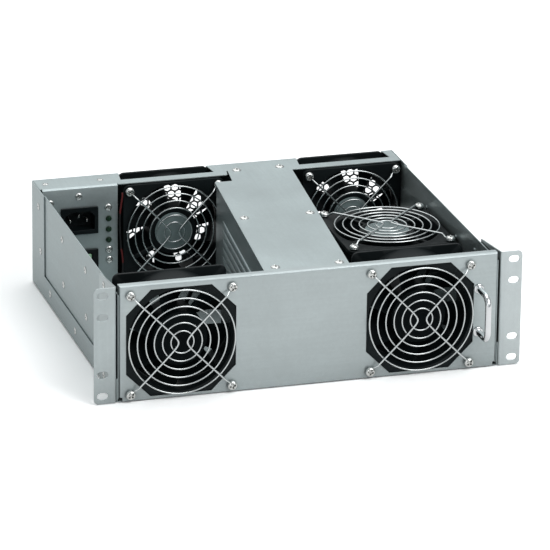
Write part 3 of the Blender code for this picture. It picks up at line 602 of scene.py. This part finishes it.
def louvre(start, z, near=21.0, far=273.0, reach=2.6, drop=4.0, sheet=0.6, above=2.0, sunk=0.1):
    """From the wall outward and down: depth as the sine, fall as one minus the cosine. The whole lip shrinks
    to nothing at its ends, as one minus the tenth power of the way along."""
    way = np.linspace(-1, 1, 61)[:, None]
    swell = 1 - way ** 10
    a = np.linspace(0, np.pi / 2, 8)[None, :]
    face = np.stack([swell * reach * np.sin(a), z + above - swell * drop * (1 - np.cos(a))])
    back = np.stack([swell * (reach - sheet) * np.sin(a),
                     z + above - sheet * swell - swell * (drop - sheet) * (1 - np.cos(a))])
    depth, level = np.concatenate([face, back[:, :, ::-1]], axis=2)
    run = (near + far) / 2 + (far - near) / 2 * way
    points = start + run[..., None] * run_along + (depth[..., None] - sunk) * run_out
    points[..., 2] = level
    return skin(points, wrap_v=True, cap_start=True, cap_end=True)


for side, (across, length, facing) in DUCT_WALLS.items():
    start = np.array((across, DUCT_START, 0))
    lips = [louvre(start, z) for z in LOUVRES]
    paint = zinc("zinc_duct_" + side, (0.42, 0.49, 0.50), along_y, 20.0 + facing)
    made = build("shown_duct_wall_" + side, [duct_wall(start, length, facing)] + lips, paint, "chassis", 40)
    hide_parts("duct_wall_" + side)
print("duct walls and louvres built")

# %% [markdown]
# ## Black paint and black plastic
# The fan housings are cast and painted satin black, and the impellers are moulded. Both are nearly black, so
# their look is in the gloss: a slightly uneven sheen with a fine pebble on the casting.

# %% Black finishes
def black(name, level=0.007, gloss=0.55, pebble=0.35, grain=900.0, shine=0.2):
    """Black paint or plastic, leaning to blue: clouded level and gloss over a pebble of small bumps."""
    made = Finish(name)
    speck = made.noise(grain, 2.0, 0.6)
    cloud = made.noise(14.0, 4.0, 0.6)
    made.set("Base Color", made.mix(made.span(cloud, 0.35, 0.65, 0, 1), shade((0.5, 0.85, 0.95), level),
                                    shade((0.8, 1.4, 1.6), level)))
    made.set("Specular IOR Level", shine)
    made.set("Roughness", made.span(cloud, 0.3, 0.7, gloss - 0.06, gloss + 0.08))
    made.bump(speck, pebble, 0.00012)
    return made.material


paint_black = black("satin_black_paint")
mould_black = black("impeller_black", 0.005, 0.5, 0.12, 500.0, 0.05)
socket_black = black("socket_black", 0.006, 0.34, 0.10, 700.0)
print("blacks ready")

# %% [markdown]
# ## Bright metal
# The guards and the handle are chrome-plated, and the screws are nickel. Chrome mirrors the room, so it needs
# only a little haze that changes along the wire.

# %% Bright metals
def bright(name, tone, rough, haze=0.08, recess_shade=0.5):
    """Plated metal: slightly clouded colour and haze over a very fine bump, with painted shade in its
    recesses.
    """
    made = Finish(name, metallic=1.0)
    cloud = made.noise(55.0, 3.0, 0.6)
    fine = made.noise(800.0, 2.0, 0.5)
    colour = made.mix(made.span(cloud, 0.3, 0.7, 0, 1), shade(tone, 0.9), tone)
    # painted shade in recesses and where parts touch
    made.set("Base Color", made.mix(made.crevice(0.0025, recess_shade), (0.01, 0.01, 0.01), colour))
    made.set("Roughness", made.span(cloud, 0.3, 0.7, rough, rough + haze))
    made.bump(fine, 0.06, 0.00005)
    return made.material


chrome_wire = bright("chrome_wire", (0.74, 0.77, 0.77), 0.20)
chrome_rod = bright("chrome_rod", (0.86, 0.87, 0.88), 0.08, 0.05)
# the screws' cross recesses get strong painted shade
nickel = bright("nickel_screws", (0.80, 0.81, 0.79), 0.20, 0.08, 0.97)
print("bright metals ready")

# %% [markdown]
# ## Handle
# The handle is one rod of round section. Its path leaves the panel, turns up by a quarter circle, and comes
# back the same way. The solid's rod has few sides, so it is swept again here with more of them, because a
# bright rod shows every flat. A washer stands at each foot and a nut behind the panel.

# %% Handle
HANDLE_X, HANDLE_LOW, HANDLE_HIGH = 191.8, 42.5, 92.5
HANDLE_REACH, HANDLE_BEND, HANDLE_ROD = 33.0, 11.0, 3.5
FOOT = 0.4               # the rod's foot stands this far off the panel, inside its washer


def rod():
    """Depth and height of the path: minus the sine and one minus the cosine of the way round each bend."""
    a = np.linspace(0, np.pi / 2, 15)
    straight = HANDLE_BEND - HANDLE_REACH
    lower = np.stack([straight - HANDLE_BEND * np.sin(a),
                      HANDLE_LOW + HANDLE_BEND * (1 - np.cos(a))], axis=-1)
    upper = lower[::-1] * (1, -1) + (0, HANDLE_LOW + HANDLE_HIGH)
    path = np.concatenate([[(-FOOT, HANDLE_LOW), (-10, HANDLE_LOW)], lower, upper,
                           [(-10, HANDLE_HIGH), (-FOOT, HANDLE_HIGH)]])
    return tube(np.insert(path + (FRONT, 0), 0, HANDLE_X, axis=1), HANDLE_ROD, 32, up=(1, 0, 0))


washer = turned([(5.0, 0.3), (5.4, 0.5), (5.4, 1.3), (4.9, 1.75), (3.6, 1.8)], 40)
nut = turned([(2.9, -4.3), (2.9, -1.8)], 6)
stud = turned([(1.9, -5.5), (2.2, -5.2), (2.2, 1.0)], 20)
feet = [moved(part, "viewer", (HANDLE_X, FRONT, z)) for part in (washer, nut, stud)
        for z in (HANDLE_LOW, HANDLE_HIGH)]
made = build("shown_handle", [rod()] + feet, chrome_rod, "chassis", 40)
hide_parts("handle")
print("handle built")

# %% [markdown]
# ## The five fans
# All five are of one pattern: a spool with two square flanges, a hub that carries seven blades, a motor seat
# on struts, and a wire guard under four screws. Each fan's centre and the seat of its guard come from its
# solids, so the new pieces can't drift away from the frame. What differs is written once: the three sizes,
# and the way that the motor seat and the guard face.

# %% Where the fans are
FIT = 0.3                # left between the hub and the motor seat
big = {"side": 127.0, "depth": 50.8, "bore": 58.6, "pitch": 113.3, "hub": 31.0, "ring": 1.0}
flat = {"side": 127.0, "depth": 38.0, "bore": 58.6, "pitch": 113.3, "hub": 31.0, "ring": 1.0}
small = {"side": 119.0, "depth": 38.0, "bore": 55.6, "pitch": 104.8, "hub": 28.0, "ring": 0.935}
fans = {}
for label, kind, wheel, guard in (("front_left", big, "rear", "viewer"),
                                  ("front_right", big, "rear", "viewer"),
                                  ("rear_left", small, "viewer", "viewer"),
                                  ("rear_right", small, "viewer", "viewer"), ("flat", flat, "up", "up")):
    low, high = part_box("fan_frame_" + label)
    middle = np.array((low + high) / 2) / MM
    low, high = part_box("fan_guard_" + label)
    seat = middle.copy()
    if guard == "viewer":
        seat[1] = high[1] / MM
    else:
        seat[2] = low[2] / MM
    fans[label] = (kind, wheel, guard, middle, seat)
    print(label, middle.round(1), "guard seat", seat.round(1))

# %% [markdown]
# ## Fan housing
# Cut across anywhere, a spool housing shows the same outline, only its flanges reach further at the corners.
# So one closed outline is carried round the axis, and the flange's reach is a function of the angle: the
# distance to a square with round corners.

# %% Housings
FLANGE_CORNER = 7.0
STRUT_TURNS, STRUT_ASIDE = (25, 115, 205, 295), 7.0     # degrees, and how far a strut passes from the centre
STRUT = np.array([(-2.0, -1.6), (-1.6, -2.0), (1.6, -2.0), (2.0, -1.6),
                  (2.0, 1.6), (1.6, 2.0), (-1.6, 2.0), (-2.0, 1.6)])


def square_reach(angle, half, corner):
    """Distance from the centre to a rounded square: a straight side where the ray meets it, else the corner's
    arc."""
    c, s = np.abs(np.cos(angle)), np.abs(np.sin(angle))
    straight = half / np.maximum(c, s)
    inner = half - corner
    toward = inner * (c + s)
    arc = toward + np.sqrt(np.maximum(toward ** 2 - 2 * inner ** 2 + corner ** 2, 0))
    in_corner = np.minimum(c, s) * straight > inner
    return np.where(in_corner, arc, straight)


def housing(kind, count=192):
    """The spool: for each angle, a closed outline. Half of it runs from the bore over the flange to the
    barrel, as reach from the axis and depth below the face, and the other half is its mirror image."""
    deep, half_side = kind["depth"] / 2, kind["side"] / 2
    angle = np.linspace(0, 2 * np.pi, count, endpoint=False) + np.pi / count
    edge = square_reach(angle, half_side, FLANGE_CORNER)
    barrel = np.minimum(half_side - 1.0, edge - 0.4)
    hole = np.full_like(angle, kind["bore"])
    half = [(hole, 1.8), (hole + 0.5, 0.5), (hole + 1.8, 0), (edge - 0.7, 0), (edge, 0.7), (edge, 3.6),
            (edge - 0.5, 4.0), (barrel + 0.9, 4.1), (barrel, 5.2)]
    rows = [(reach, below - deep) for reach, below in half] + [(barrel - 0.4, 0)]
    rows += [(reach, deep - below) for reach, below in reversed(half)]
    reach = np.array([row[0] for row in rows])
    level = np.array([np.full_like(angle, row[1]) for row in rows])
    points = np.stack([reach * np.cos(angle), reach * np.sin(angle), level], axis=-1)
    return skin(points, wrap_u=True, wrap_v=True)


def motor_seat(kind):
    """A round plate with a rolled rim, and four struts that pass beside the centre."""
    deep, hub = kind["depth"] / 2, kind["hub"]
    parts = [turned([(hub - 1.5, deep - 5.0), (hub - 0.3, deep - 4.6), (hub, deep - 4.0), (hub, deep - 1.6),
                     (hub - 0.8, deep - 0.9), (hub - 3.0, deep - 0.8), (hub - 4.0, deep - 1.3)], 72)]
    for turn in np.radians(STRUT_TURNS):
        run = np.linspace(hub - 3, kind["bore"] + 1.2, 8)
        across = np.array([-math.sin(turn), math.cos(turn), 0])
        path = np.stack([run * np.cos(turn), run * np.sin(turn), np.full_like(run, deep - 2.9)], axis=-1)
        path += STRUT_ASIDE * across
        points = path[:, None] + STRUT[None, :, 0:1] * across + STRUT[None, :, 1:2] * np.array([0, 0, 1.0])
        parts.append(skin(points, wrap_v=True, cap_start=True, cap_end=True))
    return parts


def rim(left, right, foot=112.0, top=123.3, corner=5.0, front=206.35, rear=210.4):
    """The rear flange's upper edge, which shows in the deck's notch: an upright plate with two round
    corners."""
    a = np.linspace(0, np.pi / 2, 7)
    round_right = np.stack([right - corner + corner * np.sin(a), top - corner + corner * np.cos(a)], axis=-1)
    round_left = round_right[::-1] * (-1, 1) + (left + right, 0)
    outline = np.concatenate([round_left, round_right, [(right, foot), (left, foot)]])
    faces = np.stack([np.insert(outline, 1, y, axis=1) for y in (front, rear)])
    return skin(faces, wrap_v=True, cap_start=True, cap_end=True)


rims = {"rear_left": [rim(-113.6, -9.7)], "rear_right": [rim(99.5, 202.6)]}     # from end to end
for label, (kind, wheel, guard, middle, seat) in fans.items():
    made = build("housing_" + label, [moved(p, wheel, middle) for p in [housing(kind)] + motor_seat(kind)]
                 + rims.get(label, []), paint_black, "chassis", 40)
    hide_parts("fan_frame_" + label)
print("housings built")

# %% [markdown]
# ## Impeller
# A blade is a curved strip whose angle to the airflow falls from root to tip, because the tip moves faster.
# It is also bellied, and leans back towards its tip. The strip is worked out on a cylinder of each radius and
# wrapped round the hub. It is thin at its two edges and thickest a little before its middle, like a wing.

# %% Impellers
ROOT_STAGGER, TIP_STAGGER = 52, 28         # degrees
CAMBER, HALF_THICK, LEAN = 2.6, 1.1, 0.22  # the lean in radians
BLADES, NOSE = 7, 2.5                      # and the radius of the hub's round edge


def blade(kind, turn, across=14, along=18):
    """Each row of the strip lies on a cylinder: run round it is chord times the stagger's cosine, rise its
    sine, both moved square to the chord by camber plus or minus half the thickness."""
    deep = kind["depth"] / 2
    s = np.linspace(0, 1, across)[:, None]
    t = np.linspace(0, 1, along)[None, :]
    radius = (kind["hub"] - 2.0) + (kind["bore"] - 1.0 - kind["hub"] + 2.0) * s
    stagger = np.radians(ROOT_STAGGER + (TIP_STAGGER - ROOT_STAGGER) * s)
    chord = (2 * deep - 13.0) / np.sin(stagger) * (0.80 - 0.16 * s)
    camber = CAMBER * (1 - 4 * (t - 0.5) ** 2)
    thick = HALF_THICK * np.sqrt(np.clip(t * (1 - t) * 4, 0, 1)) * (1.15 - 0.5 * t) + 0.05
    faces = []
    for face in (1, -1):
        run = (t - 0.5) * chord * np.cos(stagger) - (camber + face * thick) * np.sin(stagger)
        rise = (t - 0.5) * chord * np.sin(stagger) + (camber + face * thick) * np.cos(stagger)
        angle = turn + run / radius + LEAN * s
        faces.append(np.stack([radius * np.cos(angle), radius * np.sin(angle), rise - 2.0], axis=-1))
    loop = np.concatenate([faces[0], faces[1][:, ::-1]], axis=1)
    return skin(loop, wrap_v=True, cap_start=True, cap_end=True)


def impeller(kind):
    """The hub, a turned profile with a rounded nose, and its blades."""
    deep, hub = kind["depth"] / 2, kind["hub"]
    low, high = -deep + 3.0, deep - 5.0 - FIT
    nose = [(hub - NOSE + NOSE * math.sin(a), low + NOSE - NOSE * math.cos(a))
            for a in np.linspace(0, np.pi / 2, 7)]
    profile = [(4.0, low + 0.6), (5.2, low + 0.5), (6.0, low)] + nose + [(hub, high - 0.6), (hub - 0.6, high)]
    return [turned(profile, 72)] + [blade(kind, 2 * np.pi * k / BLADES) for k in range(BLADES)]


for label, (kind, wheel, guard, middle, seat) in fans.items():
    made = build("wheel_" + label, [moved(p, wheel, middle) for p in impeller(kind)], mould_black,
                 "impeller_" + label, 40)
    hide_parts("fan_impeller_" + label)
print("impellers built")

# %% [markdown]
# ## Wire guard
# Six rings are welded under two long wires. Each long wire comes in straight from a corner, bends round short
# of the centre and goes out to the next corner. A curve that does just that is the hyperbola
# x squared minus y squared = a squared, whose arms run along the diagonals and whose nearest point is a from
# the centre.

# %% Guards
RING_WIRE, SPOKE_WIRE, EYE = 0.85, 1.05, 3.75           # radii of the wires and of an eyelet
RING_LEVEL, RING_FIRST, RING_STEP, RINGS = 4.3, 12.7, 9.3, 6             # height over the seat, then radii
SPOKE_LEVEL, SPOKE_SLOPE, SPOKE_NEAREST = 6.2, 7.0, (4.8, 5.2)           # height, length of its drop, each a


def ring(cx, cy, level, radius, wire, count=96):
    """A wire bent into a circle."""
    angle = np.linspace(0, 2 * np.pi, count, endpoint=False)
    path = np.stack([radius * np.cos(angle), radius * np.sin(angle), np.zeros_like(angle)], axis=-1)
    return tube(path + (cx, cy, level), wire, 12, True)


def spoke(side, reach, nearest):
    """Along the hyperbola; the wire drops to the seat just before its eyelet."""
    end = reach - EYE * 0.72
    far = np.arcsinh(end / nearest)
    u = np.linspace(-far, far, 121)
    x, y = nearest * np.cosh(u), nearest * np.sinh(u)
    away = (end - np.abs(y)) * math.sqrt(2)
    rise = np.clip((away - 0.5) / SPOKE_SLOPE, 0, 1)
    level = SPOKE_WIRE + (SPOKE_LEVEL - SPOKE_WIRE) * rise * rise * (3 - 2 * rise)
    return tube(np.stack([side * x, y, level], axis=-1), SPOKE_WIRE, 12)


def guard_parts(kind):
    """Six rings, four eyelets and two spokes."""
    reach = kind["pitch"] / 2
    radii = [(RING_FIRST + RING_STEP * i) * kind["ring"] for i in range(RINGS)]
    parts = [ring(0, 0, RING_LEVEL, radius, RING_WIRE) for radius in radii]
    parts += [ring(x, y, SPOKE_WIRE, EYE, SPOKE_WIRE, 40) for x in (-reach, reach) for y in (-reach, reach)]
    return parts + [spoke(side, reach, nearest) for side, nearest in zip((-1, 1), SPOKE_NEAREST)]


for label, (kind, wheel, guard, middle, seat) in fans.items():
    made = build("wire_guard_" + label, [moved(p, guard, seat) for p in guard_parts(kind)], chrome_wire,
                 "chassis", 60)
    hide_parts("fan_guard_" + label)
print("guards built")

# %% [markdown]
# ## Guard screws
# Each eyelet sits under a pan head with a cross recess. The head is a polar grid: its height is a low dome,
# minus a pit wherever the point falls inside the cross. Every screw is turned by its own angle, as a hand
# leaves them.

# %% Guard screws
RECESS_HEAD = 4.7        # the head's radius that the sizes of the recess belong to
ARM, ARM_SLOPE, ARM_REACH, END_SLOPE = 0.85, 0.28, 3.1, 0.45
CORE, CORE_SLOPE, RECESS_DEPTH = 1.6, 0.4, 2.2


def pan_head(radius=5.3, height=3.0, level=2.55, shank=6.0, sides=48, rings=20):
    """Height over the plane: a dome that steepens to the rim, less the cross recess with sloping walls. The
    recess grows with the head."""
    size = radius / RECESS_HEAD
    r = np.concatenate([np.linspace(0.02, 0.68, rings), np.linspace(0.74, 0.985, 6)])[:, None] * radius
    a = np.linspace(0, 2 * np.pi, sides, endpoint=False)[None, :]
    x, y = r * np.cos(a), r * np.sin(a)
    dome = height * np.sqrt(np.clip(1 - (r / radius) ** 2.6, 0, 1)) + 0 * a
    beside = np.minimum(np.abs(x), np.abs(y))
    reach = np.maximum(np.abs(x), np.abs(y))
    arms = np.clip((ARM * size - beside) / (ARM_SLOPE * size), 0, 1)
    arms = arms * np.clip((ARM_REACH * size - reach) / (END_SLOPE * size), 0, 1)
    core = np.clip((CORE * size - np.hypot(x, y)) / (CORE_SLOPE * size), 0, 1)
    dome = dome - min(RECESS_DEPTH, height * 0.85) * np.maximum(arms, core)
    top = np.stack([x, y, level + dome], axis=-1)[::-1]
    neck = 1.9 * size
    outline = [(radius, 0.35), (radius, 0.0), (radius - 0.3, -0.05), (neck, -0.05), (neck, -shank),
               (neck * 0.8, -shank * 1.1)]
    skirt = np.stack([np.stack([q * np.cos(a[0]), q * np.sin(a[0]), np.full(sides, level + h)], axis=-1)
                      for q, h in outline])
    return skin(np.concatenate([skirt[::-1], top]), wrap_v=True, cap_start=True, cap_end=True)


screw = pan_head()
for label, (kind, wheel, guard, middle, seat) in fans.items():
    reach = kind["pitch"] / 2
    for i, (sx, sy) in enumerate(((-1, 1), (1, 1), (-1, -1), (1, -1))):
        node = "guard_screw_%s_%d" % (label, i + 1)
        spin = 0.35 + 1.1 * i + 0.6 * len(label)
        c, s = math.cos(spin), math.sin(spin)
        x, y, z = screw[0].T
        local = (np.stack([c * x - s * y + sx * reach, s * x + c * y + sy * reach, z], axis=-1), screw[1])
        made = build("screw_%s_%d" % (label, i + 1), [moved(local, guard, seat)], nickel, "chassis", 40)
        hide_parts(node)
print("guard screws built")

# %% [markdown]
# ## Screws on the sheets
# The heads that hold sheet to sheet are part of their sheet's solid, as plain discs. Those discs were sunk
# into the sheet when it was dressed, and heads with a cross recess take their places here.

# %% Screws on the sheets
SHANK_IN_SHEET = 0.8
sheet_heads = {       # for each sheet: the way its heads face, their radius and height, and their places
    "rear_deck": [("up", 5.2, 1.9, [(-27.5, -134.35, TOP), (44.3, -136.85, TOP), (-16.3, 26.85, TOP),
                                     (59.9, 25.65, TOP), (20.5, 187.15, TOP), (72.0, 186.95, TOP)]),
                  ("up", 3.4, 0.6, [(-204.0, 193.95, TOP), (-140.0, 193.95, TOP)]),
                  ("viewer", 4.3, 1.6, [(-169.7, WEB, 111.4), (-203.0, WEB, 105.5), (-135.0, WEB, 95.5),
                                        (-134.2, WEB, 44.2), (-133.8, WEB, 32.0)])],
    "base_pan": [("rear", 4.1, 1.2, [(x, REAR, z) for x in (-110.9, -6.1, 102.8, 207.6)
                                     for z in (8.6, 113.4)])],
}
for side, sign in (("left", -1), ("right", 1)):
    sheet_heads["base_pan"].append((side, 4.2, 0.8, [(sign * SIDE, y, z) for y, z in (
        (7.45, 14.5), (123.95, 16.0), (169.45, 51.5), (178.45, 102.5))]))
    sheet_heads["side_plate_" + side] = [(side, 4.2, 1.2, [(sign * PLATE, y, z) for y, z in (
        (71.95, 99.5), (-34.05, 101.0), (65.95, 48.0), (-37.05, 47.0))])]
    sheet_heads["rack_ear_" + side] = [(side, 4.2, 1.0, [(sign * LEG, -129.05, z) for z in (14.0, 118.3)])]
for node, groups in sheet_heads.items():
    heads = [moved(pan_head(radius, height, 0.0, SHANK_IN_SHEET), facing, place)
             for facing, radius, height, places in groups for place in places]
    build("heads_" + node, heads, nickel, "chassis", 40)
    print(node, len(heads), "heads")

# %% [markdown]
# ## Inlet, switch and lamps
# The inlet and the switch are glossy black mouldings with flat plated pins. The rocker is pale green and lets
# a little light through, and the lamps are dark green lenses. Their solids have the true form, so they are
# dressed like the sheets.

# %% Inlet, switch and lamps
def plastic(name, tone, rough, through=0.0):
    """Moulded plastic that may let some light through."""
    made = Finish(name, roughness=rough)
    cloud = made.noise(60.0, 3.0, 0.5)
    made.set("Base Color", made.mix(made.span(cloud, 0.3, 0.7, 0, 1), shade(tone, 0.92), tone))
    made.set("Roughness", made.span(cloud, 0.3, 0.7, rough - 0.04, rough + 0.05))
    made.shader.inputs["Subsurface Weight"].default_value = through
    made.shader.inputs["Subsurface Radius"].default_value = (0.002, 0.003, 0.002)
    made.bump(made.noise(400.0, 2.0), 0.05, 0.0001)
    return made.material


dress("mains_inlet", socket_black, edge=0.4)
dress("switch_case", socket_black, edge=0.4)
dress("switch_rocker", plastic("rocker_green", (0.48, 0.78, 0.52), 0.28, 0.3), "rocker", 0.5)
pin_plate = bright("pin_plate", (0.80, 0.79, 0.76), 0.2)
for pin in ("earth", "left", "right"):
    dress("inlet_pin_" + pin, pin_plate, edge=0.15)
lens = plastic("lamp_green", (0.004, 0.028, 0.010), 0.15)
for number in (1, 2, 3):
    dress("lamp_%d" % number, lens, edge=0.2)
print("inlet, switch and lamps dressed")

# %% [markdown]
# ## The lead
# One fan's lead runs down beside its housing, black where a sleeve covers it and dark red between sleeves. It
# is held at both ends and doesn't hang, so its path is a list of given points, softened by a running mean.
# The colour changes with height alone, which a ramp on the object's Z gives.

# %% Lead
LEAD_RADIUS, LEAD_DEPTH, LEAD_WAVE = 1.05, 170.45, 0.8       # it wanders in depth by the last
RAMP_TOP = 0.13          # metres; the places on the ramp are shares of this height
lead = Finish("lead_red_sleeved", roughness=0.45)
height = lead.tree.nodes.new("ShaderNodeSeparateXYZ")
lead.link(lead.object, height.inputs[0])
red, sleeve = (0.13, 0.014, 0.014), (0.008, 0.008, 0.009)
bands = lead.ramp(lead.span(height.outputs["Z"], 0.0, RAMP_TOP, 0.0, 1.0),
                  [(0.0, sleeve), (0.217, sleeve), (0.222, red), (0.35, red),
                   (0.355, sleeve), (0.677, sleeve), (0.682, red), (1.0, red)])
lead.set("Base Color", bands)
lead.bump(lead.noise(500.0, 2.0), 0.05, 0.0001)
knots = np.array([(-119.7, 113.2), (-119.9, 108.5), (-121.2, 99.7), (-122.6, 89.3), (-122.6, 78.8),
                  (-122.2, 66.8), (-121.8, 54.9), (-121.2, 44.7), (-119.9, 36.9), (-119.3, 29.0),
                  (-119.3, 15.0), (-119.4, 2.0)])
way = np.linspace(0, len(knots) - 1, 89)
x, z = (np.interp(way, np.arange(len(knots)), knots[:, k]) for k in (0, 1))
mean = np.ones(7) / 7
x = np.convolve(np.pad(x, 3, "edge"), mean, "valid")
path = np.stack([x, LEAD_DEPTH - LEAD_WAVE * np.sin(way), z], axis=-1)
made = build("shown_fan_lead", [tube(path, LEAD_RADIUS, up=(0, 1, 0))], lead.material, "chassis", 60)
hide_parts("fan_lead")
print("lead", round(float(np.linalg.norm(np.diff(path, axis=0), axis=1).sum()), 1), "long")

# %% [markdown]
# ## Hub labels
# A round disc of foil covers the middle of each of three motor seats, those that face the viewer or up. It is
# a turned profile with a slightly bevelled edge, and stays bare.

# %% Labels
FOIL_INSET, FOIL_FACE, FOIL_FOOT = 6.3, 0.65, 1.6       # in from the hub's rim, and down from the spool's end
foil = plastic("label_foil", (0.25, 0.32, 0.325), 0.35)
for label in ("rear_left", "rear_right", "flat"):
    kind, wheel, guard, middle, seat = fans[label]
    deep, radius = kind["depth"] / 2, kind["hub"] - FOIL_INSET
    disc = turned([(radius, deep - FOIL_FOOT), (radius, deep - FOIL_FACE - 0.07),
                   (radius - 0.2, deep - FOIL_FACE), (1.0, deep - FOIL_FACE)], 72)
    build("hub_label_" + label, [moved(disc, wheel, middle)], foil, "chassis", 40)
print("labels placed")
